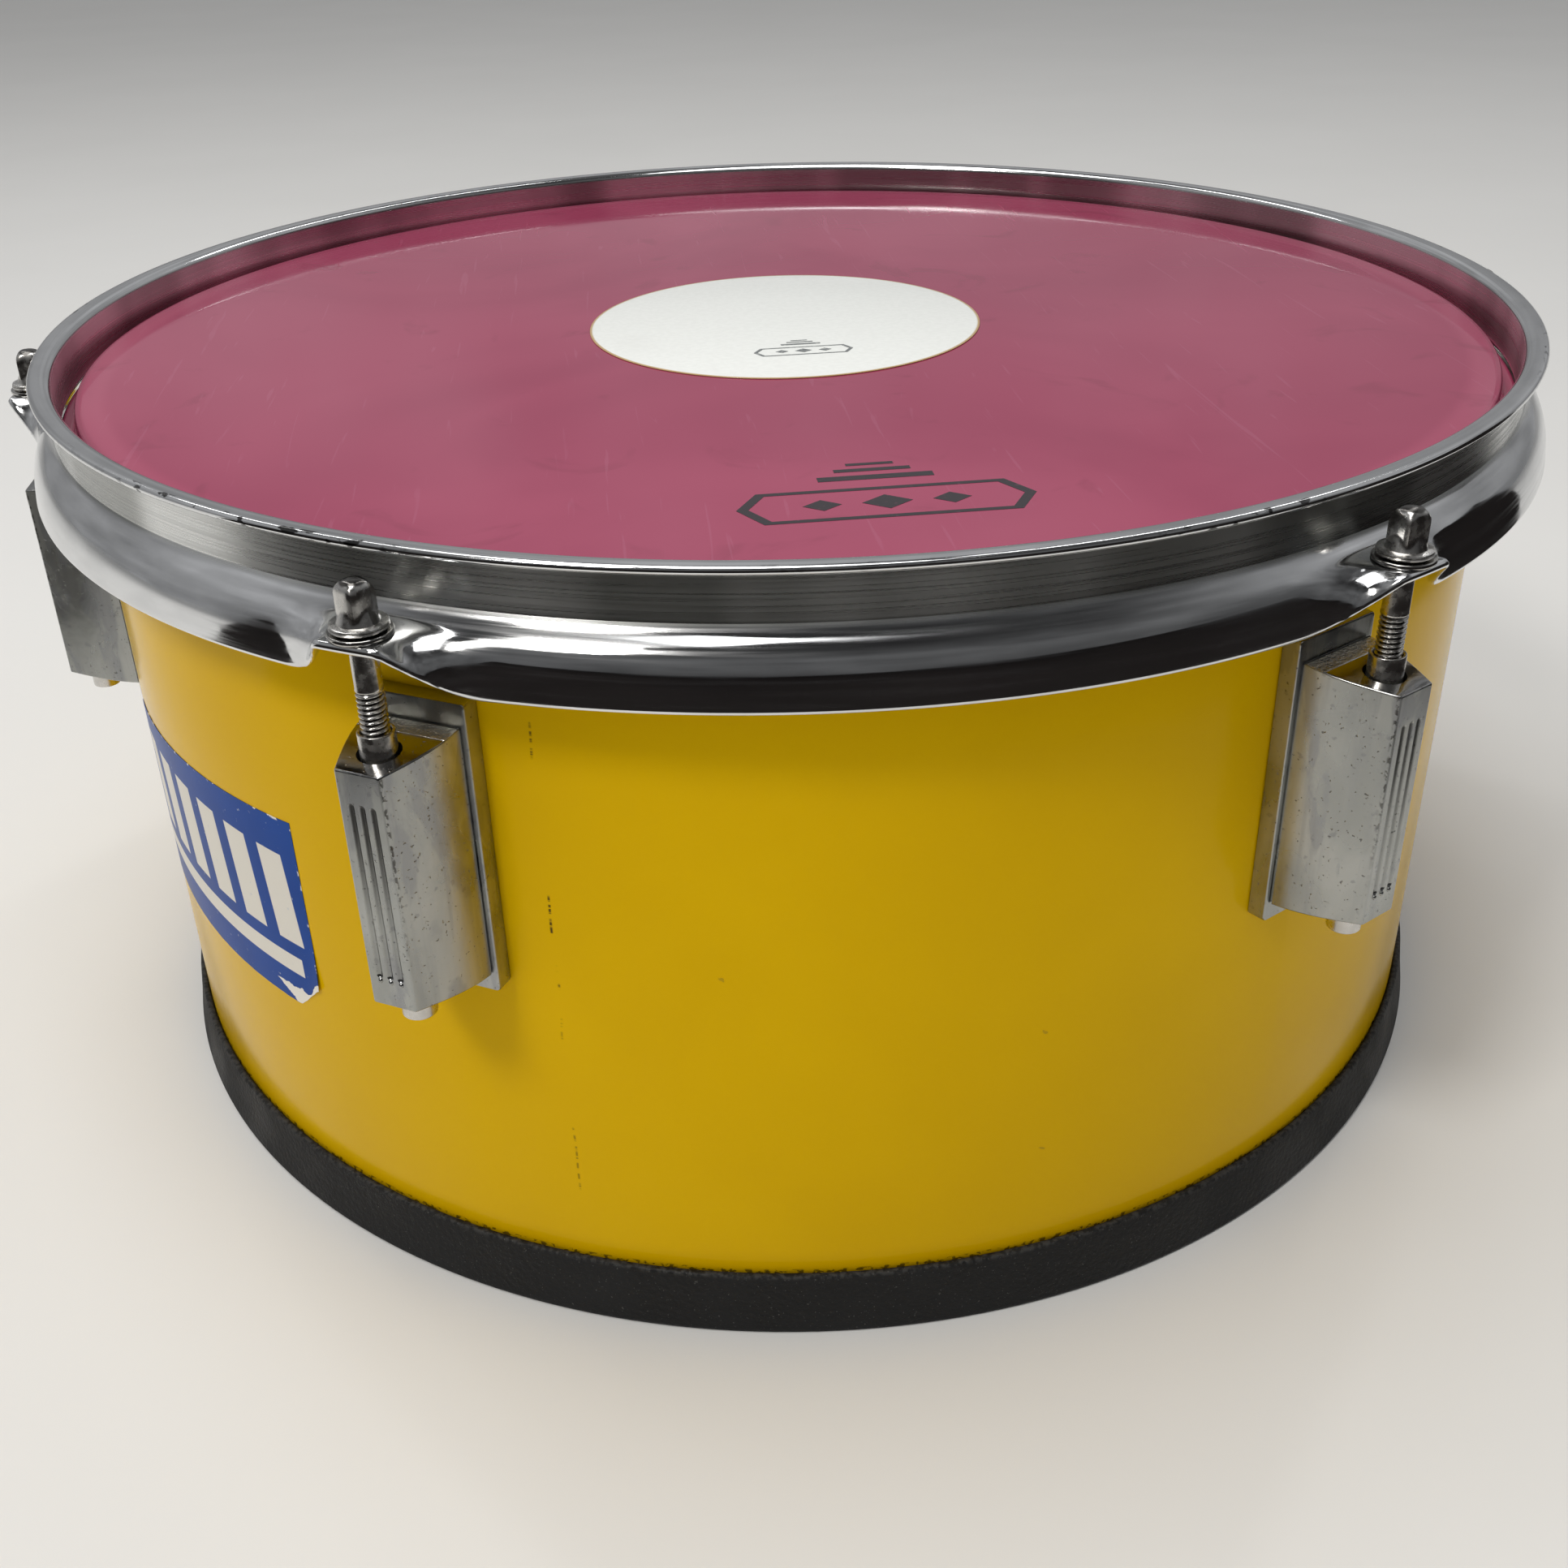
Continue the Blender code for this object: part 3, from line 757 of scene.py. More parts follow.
def make_rim(rubber):
    inner = SHELL_RADIUS - SHELL_WALL
    lip = SHELL_RADIUS + 0.15
    profile = [
        (RIM_INNER, 0.0),
        (RIM_RADIUS - 0.4, 0.0),
        (RIM_RADIUS, 0.8),
        (RIM_RADIUS - 1.1, 7.5),
        (RIM_RADIUS - 2.1, RIM_TOP),
        (lip, RIM_TOP),
        (lip, SHELL_BOTTOM - 0.2),
        (inner - 0.2, SHELL_BOTTOM - 0.2),
        (inner - 0.2, 12.5),
        (RIM_INNER, 12.5),
    ]
    mesh = turned("rubber_edge_guard", rounded(profile, 0.9, 4), 240)
    place(add_object("rubber_edge_guard", mesh, rubber), "drum_shell", "black_rubber", "rubber_rim")


def make_head(film, aluminium, patch):
    thickness = 0.3
    skirt = 173.1  # the film's turned-out skirt lies just above the flesh ring
    bend = [(176.6, FILM_TOP), (177.6, FILM_TOP - 0.25), (178.6, FILM_TOP - 1.1), (179.5, skirt + 0.95)]
    bend += [(180.6, skirt + 0.7), (182.2, skirt + 1.1), (183.2, skirt + 0.35), (184.1, skirt - 0.45)]
    outer = [tuple(p) for p in catmull(bend, 4)]
    outer += [(183.9, skirt - 0.75), (182.7, skirt), (COLLAR_RADIUS, skirt), (COLLAR_RADIUS, COLLAR_BOTTOM)]
    back = COLLAR_RADIUS - thickness
    inner = [(back, COLLAR_BOTTOM), (back, skirt + 0.55), (178.3, FILM_TOP - 1.4), (177.4, FILM_TOP - 0.6)]
    inner.append((176.6, FILM_TOP - thickness))
    rings = [(r, FILM_TOP) for r in (60.0, 110.0, 150.0, 170.0)]
    under = [(r, FILM_TOP - thickness) for r, _ in reversed(rings)]
    profile = [(0, FILM_TOP), *rings, *outer, *inner, *under, (0, FILM_TOP - thickness)]
    mesh = turned("drum_film", profile, 240)
    place(add_object("drum_film", mesh, film), "drum_head", "head_film", "head_film", "head_collar")
    base = FILM_TOP + 0.04
    dot = rounded([(0, base), (PATCH_RADIUS, base), (PATCH_RADIUS, base + 0.25), (0, base + 0.25)], 0.12, 3)
    dot = add_object("reinforcing_dot", turned("reinforcing_dot", dot, 180), patch)
    place(dot, "drum_head", "patch_film", "centre_patch")
    section = [
        (179.8, 164.2),
        (185.1, 164.2),
        (185.1, 171.0),
        (184.4, 171.6),
        (182.7, 172.8),
        (181.2, 172.8),
        (181.2, 167.4),
        (180.6, 167.4),
        (180.6, 172.8),
        (179.8, 172.8),
    ]
    mesh = turned("flesh_ring", rounded(section, 0.5, 3), 200)
    place(add_object("flesh_ring", mesh, aluminium), "drum_head", "flesh_aluminium", "flesh_hoop")


# The hoop's ears: sizes in millimetres, and angles in degrees from the rod
HOOP_THICKNESS = 1.8
EAR_TOP = low("rod_washer_1").z - 0.3
EAR_HALF_ANGLE = 1.95
EAR_BLEND_ANGLE = 6.5
EAR_HOLE = 3.5  # radius


def hoop_section(offset):
    """The hoop's section as a closed outline, at an angle from a rod: rolled rim, wall, and a lip or ear.

    The ear ends in a crease at its tip, and runs out softly near the wall.
    """
    upper = [(186.4, 187.15), (184.2, 187.15), (183.2, 186.6), (183.05, 185.2), (183.05, 177.0)]
    plain = [(183.35, 175.5), (184.6, 173.9), (186.3, 172.3), (187.9, 170.2)]
    plain += [(189.1, 167.2), (189.6, 164.6), (189.9, 162.2)]
    flat = EAR_TOP - HOOP_THICKNESS / 2
    ear = [(183.35, 175.55), (184.55, 174.0), (186.3, 172.85)]
    ear += [(189.0, flat + 0.02), (192.5, flat), (195.5, flat), (198.5, flat)]
    lip = []
    for k, (a, b) in enumerate(zip(plain, ear)):
        tip = k / (len(plain) - 1)
        start = EAR_HALF_ANGLE * (0.25 + 0.75 * tip)
        end = EAR_BLEND_ANGLE + 3.0 * (1 - tip)
        share = min(1.0, max(0.0, (end - abs(offset)) / (end - start)))
        flatness = smoothstep(share) * (1 - tip) + share**2 * tip
        lip.append(Vector(a).lerp(Vector(b), flatness))
    line = catmull([*upper, *lip], 4)
    half = HOOP_THICKNESS / 2
    left, right = [], []
    for i, point in enumerate(line):
        along = (line[min(i + 1, len(line) - 1)] - line[max(i - 1, 0)]).normalized()
        side = Vector((-along.y, along.x)) * half
        left.append(point + side)
        right.append(point - side)
    caps = []
    for end, inside, first in ((line[-1], line[-2], left[-1]), (line[0], line[1], right[0])):
        along = (end - inside).normalized()
        side = (first - end).normalized()
        turns = (math.pi * k / 6 for k in range(1, 6))
        caps.append([end + (side * math.cos(t) + along * math.sin(t)) * half for t in turns])
    return [*left, *caps[0], *reversed(right), *caps[1]]


def make_hoop(chrome):
    near = [i * 0.35 for i in range(24)]
    far = [9.0 + i for i in range(21)]
    offsets = [*(-a for a in reversed([*near[1:], *far])), *near, *far, 30.0]
    rows = []
    for station in sorted(STATIONS.values()):
        for offset in offsets:
            rows.append([at(station + offset, r, z) for r, z in hoop_section(offset)])
    mesh = mesh_from_rows("counter_hoop_chrome", rows, closed=True)
    below, above = 166.0, 176.0
    bm = bmesh.new()
    for azimuth in STATIONS.values():
        x, y, _ = at(azimuth, ROD_RADIUS, 0) / MM
        prism(bm, circle(x, y, EAR_HOLE, 32), below, above, axis="z")
    mesh = boolean(mesh, ("DIFFERENCE", finish_mesh(bm, "ear_holes")))
    place(add_object("counter_hoop_chrome", mesh, chrome), "hoop", "hoop_chrome", "counter_hoop")


def make_label(material):
    columns, levels = 72, 26
    rows = []
    for i in range(columns + 1):
        share = i / columns
        azimuth = LABEL_FIRST + (LABEL_LAST - LABEL_FIRST) * share
        top = LABEL_HIGH + LABEL_RISE * share
        tear = max(0.0, (azimuth - LABEL_LAST + LABEL_TEAR) / LABEL_TEAR)
        ragged = 0.5 * noise.noise(Vector((i * 0.9, 0.0, 4.2))) * (1 if tear else 0.3)
        bottom = LABEL_LOW + 8.0 * tear + ragged
        outer, inner = [], []
        for j in range(levels + 1):
            height = bottom + (top - bottom) * j / levels
            curl = 0.7 * max(0.0, tear - j / 9) ** 2
            outer.append(at(azimuth, SHELL_RADIUS + 0.14 + curl, height))
            inner.append(at(azimuth, SHELL_RADIUS + 0.03 + curl, height))
        rows.append([*outer, *reversed(inner)])
    mesh = smooth(mesh_from_rows("shell_label", rows, closed=False))
    place(add_object("shell_label", mesh, material), "drum_shell", "label_print", "shell_sticker")


INK_THICKNESS = 0.03


def lozenge(centre, wide, deep, inset):
    """Six corners of a lozenge frame, drawn in by an inset."""
    half_wide, half_deep = wide - inset * 1.6, deep - inset
    nose = half_deep * 0.55
    shape = [(-half_wide, 0), (-half_wide + nose, -half_deep), (half_wide - nose, -half_deep)]
    shape += [(half_wide, 0), (half_wide - nose, half_deep), (-half_wide + nose, half_deep)]
    return [(centre[0] + u, centre[1] + v) for u, v in shape]


def emblem(name, centre, size, base, ink):
    """A generic printed mark: a lozenge frame with three small diamonds, and three bars behind it."""
    x0, y0 = centre
    wide, deep, line = 30.0 * size, 8.5 * size, 1.5 * size
    bm = bmesh.new()
    top = base + INK_THICKNESS
    rows = []
    for height in (base, top):
        for inset in (0.0, line):
            corners = lozenge(centre, wide, deep, inset)
            rows.append([bm.verts.new(Vector((u, v, height)) * MM) for u, v in corners])
    for a, b in ((0, 1), (1, 3), (3, 2), (2, 0)):
        for i in range(6):
            j = (i + 1) % 6
            bm.faces.new([rows[a][i], rows[a][j], rows[b][j], rows[b][i]])
    for step in (-1, 0, 1):
        u, reach = x0 + step * 13.0 * size, (3.9 - 0.9 * abs(step)) * size
        diamond = [(u - reach * 1.3, y0), (u, y0 - reach), (u + reach * 1.3, y0), (u, y0 + reach)]
        prism(bm, diamond, base, top, axis="z")
    for offset, half, thick in ((14.5, 12.0, 1.3), (19.0, 8.0, 0.9), (22.5, 5.0, 0.7)):
        v = y0 + offset * size
        near, far = v - thick * size, v + thick * size
        left, right = x0 - half * size, x0 + half * size
        prism(bm, [(left, near), (right, near), (right, far), (left, far)], base, top, axis="z")
    place(add_object(name, finish_mesh(bm, name), ink), "drum_head", "label_print")


# ---------------------------------------------------------------- lug stations


def lug_outline(half, bottom, top, corner, reach, curved=False):
    """A rounded rectangle at one reach from the drum's axis. A curved one follows the shell."""
    arcs = []
    for cx, cz, turn in (
        (-half + corner, bottom + corner, math.pi),
        (half - corner, bottom + corner, 1.5 * math.pi),
        (half - corner, top - corner, 0.0),
        (-half + corner, top - corner, 0.5 * math.pi),
    ):
        turns = (turn + math.pi / 2 * k / 3 for k in range(4))
        arcs.append([(cx + corner * math.cos(t), cz + corner * math.sin(t)) for t in turns])
    points = []
    for i, arc in enumerate(arcs):
        points += arc
        if i in (0, 2):
            start, end = Vector(arc[-1]), Vector(arcs[(i + 1) % 4][0])
            points += [tuple(start.lerp(end, k / 6)) for k in range(1, 6)]
    return [Vector((x, -(math.sqrt(reach * reach - x * x) if curved else reach), z)) * MM for x, z in points]


def lug_mesh():
    """The casting: a flat front, sides that swell back to a base plate, a hollow inside, cut grooves."""
    body_back, plate_front = 182.4, 182.0
    depth = LUG_FRONT - body_back
    edge = 0.35
    front_half, swell = 4.9, 5.4
    front_low, front_high = 96.0, 148.7

    def body(reach, inset=0.0):
        t = (LUG_FRONT - reach) / depth
        half = front_half + swell * (0.93 * math.sin(math.pi * t / 2) + 0.07 * t)
        return half - inset, front_low - 2.3 * t + inset, front_high + 1.9 * t - inset

    rows = []
    for k in range(4):
        turn = math.pi / 2 * k / 3
        reach = LUG_FRONT - edge * (1 - math.cos(turn))
        rows.append(lug_outline(*body(reach, edge * (1 - math.sin(turn))), 0.4, reach))
    for k in range(1, 11):
        reach = LUG_FRONT - edge - (depth - edge) * (k / 10) ** 1.15
        rows.append(lug_outline(*body(reach), 0.4, reach))
    neck, bottom, top = body(body_back, 0.3)
    rows.append(lug_outline(neck, bottom, top, 0.4, 182.3))
    rows.append(lug_outline(neck, bottom, top, 0.4, plate_front))
    plate = PLATE_HALF
    for inset, reach in ((0.5, plate_front), (0.14, 181.85), (0.0, 181.5)):
        rows.append(lug_outline(plate - inset, PLATE_LOW + inset, PLATE_HIGH - inset, 0.9, reach))
    back = SHELL_RADIUS + 0.3
    wall = 1.9
    rows.append(lug_outline(plate, PLATE_LOW, PLATE_HIGH, 0.9, back, curved=True))
    rows.append(lug_outline(plate - wall, PLATE_LOW + wall, PLATE_HIGH - wall, 0.5, back, curved=True))
    rows.append(lug_outline(plate - wall, PLATE_LOW + wall, PLATE_HIGH - wall, 0.5, 180.2))
    rows.append(lug_outline(8.6, 95.5, 148.8, 0.5, 180.4))
    rows.append(lug_outline(6.4, 96.9, 147.7, 0.5, 193.3))
    rows.append(lug_outline(3.4, 98.0, 146.8, 0.5, LUG_FRONT - wall))
    mesh = mesh_from_rows("lug_casting", rows, closed=False)
    bosses = mesh_from_prisms("bosses", [(circle(0, h, 3.5, 24), 179.0, 187.0, "y") for h in SCREW_HEIGHTS])
    bores = mesh_from_prisms("bores", [(circle(0, h, 2.3, 24), 177.0, 186.2, "y") for h in SCREW_HEIGHTS])
    hole = mesh_from_prisms("hole", [(circle(0, -ROD_RADIUS, 4.3, 32), PLATE_LOW - 5, PLATE_HIGH + 5, "z")])
    columns = (-2.4, 0.0, 2.4)
    grooves = capsules("grooves", [(x, LUG_FRONT + 0.38, 103.2, 141.2) for x in columns], 0.85)
    dots = capsules("dots", [(x, LUG_FRONT - 0.15, 101.9, 102.0) for x in columns], 0.55)
    return boolean(
        mesh,
        ("UNION", bosses),
        ("DIFFERENCE", bores),
        ("DIFFERENCE", hole),
        ("DIFFERENCE", grooves),
        ("UNION", dots),
    )


def capsules(name, places, radius, segments=16, cap=5):
    """Upright round-ended rods in one mesh, each from an (x, reach, bottom, top)."""
    joined = bmesh.new()
    for x, reach, bottom, top in places:
        turns = [math.pi / 2 * k / cap for k in range(cap + 1)]
        ends = [(math.sin(t), bottom - radius * math.cos(t)) for t in turns[1:]]
        ends += [(math.cos(t), top + radius * math.sin(t)) for t in turns[:-1]]
        rows = [[Vector((x, -reach, bottom - radius)) * MM]]
        for share, height in ends:
            rows.append([Vector((u, -v, height)) * MM for u, v in circle(x, reach, radius * share, segments)])
        rows.append([Vector((x, -reach, top + radius)) * MM])
        joined.from_mesh(mesh_from_rows(name, rows, closed=False))
    return finish_mesh(joined, name, outwards=False)


def rod_head_rows(segments, shank, start):
    """The rod above its thread: shank, two-rimmed flange, and a square key that a cone runs up into."""
    seat = high("rod_washer_1").z + 0.2
    key_half, key_round = 2.95, 3.8
    plain = [
        (shank, start + 0.1),
        (2.62, start + 0.5),
        (2.62, seat),
        (5.2, seat),
        (5.5, seat + 0.12),
        (5.55, seat + 0.32),
        (5.4, seat + 0.5),
        (5.15, seat + 0.56),
        (5.35, seat + 0.62),
        (5.45, seat + 0.8),
        (5.35, seat + 1.0),
        (5.0, seat + 1.12),
    ]
    rows = [ring(radius, height, segments) for radius, height in plain]
    cone_low, cone_high = seat + 1.2, seat + 4.4
    levels = [cone_low + (cone_high - cone_low) * k / 10 for k in range(11)]
    levels += [cone_high + (KEY_TOP - 3.0 - cone_high) * k / 3 for k in range(1, 4)]
    for height in levels:
        cone = 4.05 - 0.4 * (height - cone_low)
        rows.append(ring(key_round, height, segments, key_half, cone))
    for k in range(1, 9):
        turn = math.pi / 2 * k / 9
        shrink = math.cos(turn) ** 0.8
        height = KEY_TOP - 3.0 + 3.0 * math.sin(turn)
        rows.append(ring(key_round * shrink, height, segments, key_half * shrink**0.7, 0.0))
    return rows


def ring(radius, height, segments, half=None, cone=0.0):
    """A level ring of points. Half flattens it to a square, and cone is the least radius it may have."""
    row = []
    for i in range(segments):
        turn = 2 * math.pi * i / segments
        reach = radius
        if half:
            side = half / max(abs(math.cos(turn)), abs(math.sin(turn)))
            reach = max((radius**-16 + side**-16) ** (-1 / 16), cone)
        row.append(Vector((reach * math.cos(turn), reach * math.sin(turn), height)) * MM)
    return row


def rod_mesh():
    """A tension rod: rolled thread, plain shank, flange, and a square key with rounded corners."""
    segments, per_pitch = 40, 10
    pitch = 25.4 / 24
    thread_top = 162.6
    major, minor = 2.7, 2.1
    rows = [[Vector((0, 0, ROD_END)) * MM]]
    count = int((thread_top - ROD_END) / pitch * per_pitch)
    for k in range(count + 1):
        height = ROD_END + (thread_top - ROD_END) * k / count
        fade = min(1.0, (height - ROD_END) / 1.5) * min(1.0, (thread_top - height) / 0.9 + 0.05)
        row = []
        for i in range(segments):
            phase = (height / pitch - i / segments) % 1.0
            crest = abs(2 * phase - 1)
            deep = minor + (major - minor) * smoothstep(crest * 1.15)
            radius = deep * fade + (major if height > 140 else minor - 0.2) * (1 - fade)
            turn = 2 * math.pi * i / segments
            row.append(Vector((radius * math.cos(turn), radius * math.sin(turn), height)) * MM)
        rows.append(row)
    rows.extend(rod_head_rows(segments, major, thread_top))
    rows.append([Vector((0, 0, KEY_TOP)) * MM])
    return smooth(mesh_from_rows("tension_rod_detail", rows, closed=False), 32)


def nut_mesh(name, shoulder, tip, tail):
    """A swivel nut with a chamfered barrel, its shoulder and its spring spigot."""
    up = 1 if tip > shoulder else -1
    bore = 2.85
    profile = [
        (bore + 0.35, tail),
        (3.4, tail),
        (3.4, shoulder - 2.2 * up),
        (5.2, shoulder - 2.2 * up),
        (5.2, shoulder),
        (3.6, shoulder),
        (3.6, tip),
        (bore + 0.2, tip),
        (bore, tip - 0.3 * up),
        (bore, tail + 0.3 * up),
    ]
    return turned(name, rounded(profile, 0.3, 3), 40)


def spring_mesh(bottom, top):
    coil, wire, turns, steps, sides = 4.4, 0.5, 9, 20, 8
    rows = []
    for i in range(turns * steps + 1):
        turn = 2 * math.pi * i / steps
        away = Vector((math.cos(turn), math.sin(turn), 0.0))
        centre = away * coil + Vector((0, 0, bottom + (top - bottom) * i / (turns * steps)))
        spokes = (2 * math.pi * k / sides for k in range(sides))
        round_wire = [away * math.cos(t) + Vector((0, 0, 1)) * math.sin(t) for t in spokes]
        rows.append([(centre + spoke * wire) * MM for spoke in round_wire])
    return smooth(mesh_from_rows("nut_spring_coil", rows, closed=False))


def washer_mesh(bottom, top):
    inner, outer = 3.1, 6.1
    profile = [(inner, bottom), (outer, bottom), (outer, top), (inner, top)]
    return turned("washer", rounded(profile, 0.35, 3), 48)


def screw_mesh():
    """A washer-headed screw along its own +Z, with a cross recess, measured from the drum's axis."""
    seat = SHELL_RADIUS - SHELL_WALL - 0.35
    profile = [
        (0, seat - 3.2),
        (1.6, seat - 3.05),
        (2.7, seat - 2.5),
        (3.1, seat - 1.0),
        (4.6, seat - 0.95),
        (4.6, seat),
        (2.0, seat),
        (2.0, 184.4),
        (0, 185.2),
    ]
    mesh = turned("lug_screw_detail", rounded(profile, 0.35, 3), 32)
    arms = [[(-1.7, -0.35), (1.7, -0.35), (1.7, 0.35), (-1.7, 0.35)]]
    arms.append([(v, u) for u, v in reversed(arms[0])])
    cuts = [mesh_from_prisms("recess", [(arm, seat - 5, seat - 1.9, "z")]) for arm in arms]
    return boolean(mesh, *(("DIFFERENCE", cut) for cut in cuts))


def make_stations():
    chrome = lug_chrome()
    rod_plate = plated_metal("rod_plate", (0.55, 0.535, 0.51), (0.68, 0.665, 0.64), 0.22, groove=2.4)
    nut_plate = plated_metal("nut_plate", (0.55, 0.535, 0.51), (0.68, 0.66, 0.63), 0.24)
    washer_plate = plated_metal("washer_plate", (0.45, 0.44, 0.42), (0.55, 0.54, 0.52), 0.15)
    steel = plated_metal("spring_steel", (0.3, 0.3, 0.31), (0.44, 0.44, 0.45), 0.3)
    screw_plate = plated_metal("screw_plate", (0.42, 0.42, 0.43), (0.6, 0.6, 0.6), 0.25)
    lug = lug_mesh()
    rod = rod_mesh()
    swivel = nut_mesh("swivel_nut_detail", 146.3, NUT_TIP, 138.0)
    lower = nut_mesh("lower_nut_detail", 98.5, LOWER_NUT_TIP, 107.0)
    spring = spring_mesh(102.2, 142.6)
    washer = washer_mesh(EAR_TOP + 0.02, high("rod_washer_1").z - 0.2)
    screw = screw_mesh()
    for number, azimuth in STATIONS.items():
        casting = add_object(f"lug_casting_{number}", lug, chrome)
        at_station(casting, azimuth)
        weight_normals(casting)
        place(casting, "drum_shell", "lug_chrome", f"lug_{number}")
        pieces = (
            ("swivel_nut", swivel, nut_plate, "drum_shell", "plated_brass"),
            ("lower_nut", lower, nut_plate, "drum_shell", "plated_brass"),
            ("nut_spring", spring, steel, "drum_shell", "spring_steel"),
            ("rod_washer", washer, washer_plate, f"washer_{number}", "rod_plate"),
            ("tension_rod", rod, rod_plate, f"rod_{number}", "rod_plate"),
        )
        for name, mesh, material, body, slot in pieces:
            piece = add_object(f"{name}_detail_{number}", mesh, material)
            at_station(piece, azimuth, ROD_RADIUS)
            if name == "tension_rod":
                piece.rotation_euler.z += math.radians(KEY_TURNS[number])
            place(piece, body, slot, f"{name}_{number}")
        for end, height in zip(("low", "high"), SCREW_HEIGHTS):
            piece = add_object(f"lug_screw_detail_{end}_{number}", screw, screw_plate)
            turn = Matrix.Rotation(math.radians(azimuth), 4, "Z")
            lie = Matrix.Rotation(math.pi / 2, 4, "X")
            piece.matrix_world = turn @ Matrix.Translation((0, 0, height * MM)) @ lie
            place(piece, "drum_shell", "screw_plate", f"lug_screw_{end}_{number}")


# ---------------------------------------------------------------- floor, light, camera


def make_floor():
    mesh = mesh_from_prisms("floor", [(circle(0, 0, 9000, 64), -8.0, -0.02, "z")])
    add_object("floor", mesh, pale_floor())


def make_dark_card():
    """A dark band low across the room behind the camera. Only glossy rays see it: it gives metal contrast."""
    look = Look("dark_surround", Roughness=1.0, Specular_IOR_Level=0.0)
    look.colour(look.mix(look.noise(0.8, 2.0), (0.006, 0.0055, 0.0055), (0.022, 0.019, 0.018)))
    section = ((440, 3), (560, 12), (900, 90), (3000, 900))
    bm = bmesh.new()
    made = [[bm.verts.new(at(i * 5, radius, height)) for i in range(-16, 22)] for radius, height in section]
    for first, second in zip(made, made[1:]):
        for i in range(len(first) - 1):
            bm.faces.new([first[i], first[i + 1], second[i + 1], second[i]])
    card = add_object("dark_surround", finish_mesh(bm, "dark_surround", outwards=False), look.finish())
    card.visible_camera = False
    card.visible_diffuse = False
    card.visible_shadow = False
    card.visible_transmission = False


def add_area(name, place_at, aim, size, power, colour=(1.0, 1.0, 1.0)):
    light = bpy.data.lights.new(name, "AREA")
    light.shape = "RECTANGLE"
    light.size, light.size_y = size
    light.energy = power
    light.color = colour
    made = bpy.data.objects.new(name, light)
    bpy.context.scene.collection.objects.link(made)
    made.location = place_at
    made.rotation_euler = (Vector(aim) - Vector(place_at)).to_track_quat("-Z", "Y").to_euler()


def mapped(tree, value, *limits):
    """Maps value in a straight line. The limits are from low, from high, to low and to high."""
    node = tree.nodes.new("ShaderNodeMapRange")
    tree.links.new(value, node.inputs["Value"])
    for socket, limit in zip(("From Min", "From Max", "To Min", "To Max"), limits):
        node.inputs[socket].default_value = limit
    return node.outputs[0]


def product(tree, *factors):
    result = factors[0]
    for factor in factors[1:]:
        node = tree.nodes.new("ShaderNodeMath")
        node.operation = "MULTIPLY"
        tree.links.new(result, node.inputs[0])
        tree.links.new(factor, node.inputs[1])
        result = node.outputs[0]
    return result


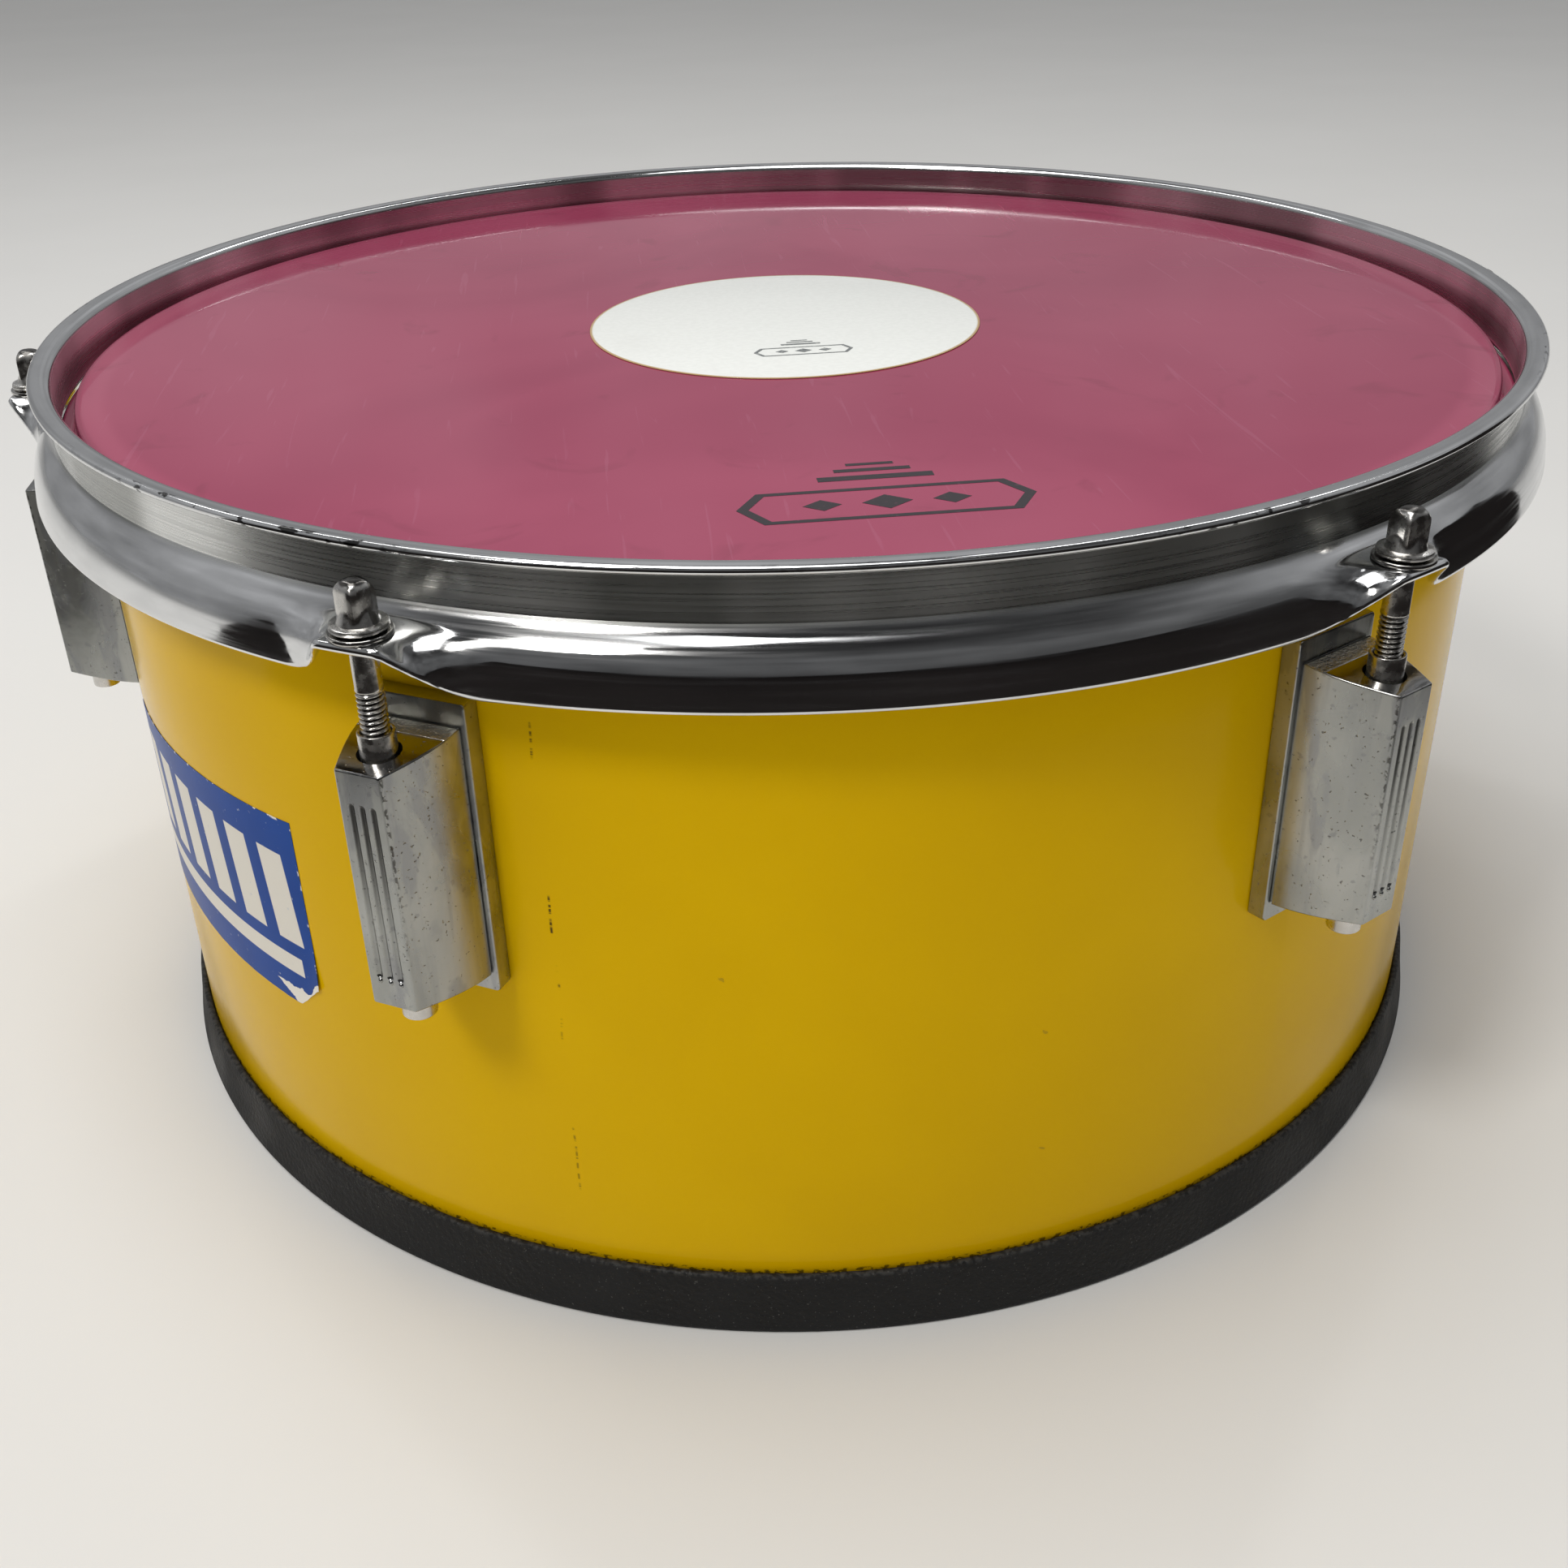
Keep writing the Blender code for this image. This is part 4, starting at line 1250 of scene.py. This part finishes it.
def make_light():
    """A pale room that is dimmer near the horizon, a soft lamp overhead, one at the left, two tubes behind.

    Reflections see a darker ceiling and a darker near side than the eye does.
    """
    world = bpy.data.worlds.new("studio")
    bpy.context.scene.world = world
    world.use_nodes = True
    tree = world.node_tree
    coordinates = tree.nodes.new("ShaderNodeTexCoord").outputs["Generated"]
    split = tree.nodes.new("ShaderNodeSeparateXYZ")
    tree.links.new(coordinates, split.inputs[0])
    level = mapped(tree, split.outputs["Z"], 0.1, 0.8, 0.28, 0.47)
    ceiling = mapped(tree, split.outputs["Z"], 0.6, 0.85, 1.0, 0.2)
    near_side = mapped(tree, split.outputs["Y"], -0.35, 0.05, 0.3, 1.0)
    rays = tree.nodes.new("ShaderNodeLightPath")
    seen = tree.nodes.new("ShaderNodeMix")
    tree.links.new(rays.outputs["Is Glossy Ray"], seen.inputs[0])
    seen.inputs[2].default_value = 1.0
    tree.links.new(product(tree, ceiling, near_side), seen.inputs[3])
    mottle = tree.nodes.new("ShaderNodeTexNoise")
    mottle.inputs["Scale"].default_value = 5.0
    mottle.inputs["Detail"].default_value = 3.0
    tree.links.new(coordinates, mottle.inputs["Vector"])
    contrast = mapped(tree, mottle.outputs["Fac"], 0.3, 0.7, 0.7, 1.25)
    background = tree.nodes["Background"]
    background.inputs["Color"].default_value = (0.97, 0.98, 1.0, 1.0)
    strength = product(tree, level, contrast, seen.outputs[0])
    tree.links.new(strength, background.inputs["Strength"])
    add_area("overhead", (-0.25, -0.1, 1.9), (0, 0, 0.1), (1.4, 1.0), 15.5)
    add_area("tube_left", (-0.75, 0.9, 1.7), (0, 0, 0.18), (0.1, 1.2), 3)
    add_area("tube_right", (0.8, 0.9, 1.7), (0, 0, 0.18), (0.1, 1.2), 3)
    add_area("key_left", (-1.15, -1.15, 1.95), (0, 0, 0.12), (0.5, 0.5), 20, (1.0, 0.98, 0.95))
    bpy.context.scene.view_settings.view_transform = "Standard"


def make_camera():
    """The camera looks down at the drum from just left of azimuth 0. Angles are in radians."""
    pitch, roll, yaw = 0.5187, 0.0273, -0.1085
    stand = Vector((-0.0530, -0.4542, 0.3001))
    forward = Vector((0, math.cos(pitch), -math.sin(pitch)))
    level = Vector((1, 0, 0))
    up = Vector((0, math.sin(pitch), math.cos(pitch)))
    right = level * math.cos(roll) - up * math.sin(roll)
    top = up * math.cos(roll) + level * math.sin(roll)
    turn = Matrix.Rotation(yaw, 3, "Z")
    axes = [turn @ right, turn @ top, turn @ -forward]
    data = bpy.data.cameras.new("camera")
    data.lens = 39.51
    data.sensor_width = 36.0
    data.clip_start = 0.01
    camera = bpy.data.objects.new("camera", data)
    bpy.context.scene.collection.objects.link(camera)
    rotation = Matrix(axes).transposed().to_4x4()
    camera.matrix_world = Matrix.Translation(stand) @ rotation
    bpy.context.scene.camera = camera


def main():
    make_camera()
    make_light()
    make_floor()
    make_dark_card()
    make_shell(yellow_lacquer(), plywood())
    make_rim(black_rubber())
    make_head(pink_film(), brushed_aluminium(), white_patch())
    make_hoop(hoop_chrome())
    make_label(blue_label())
    emblem("head_print", (3.6, -137.0), 1.0, FILM_TOP + 0.02, print_ink())
    emblem("dot_print", (1.3, -28.5), 0.42, FILM_TOP + 0.31, faded_ink())
    make_stations()


main()
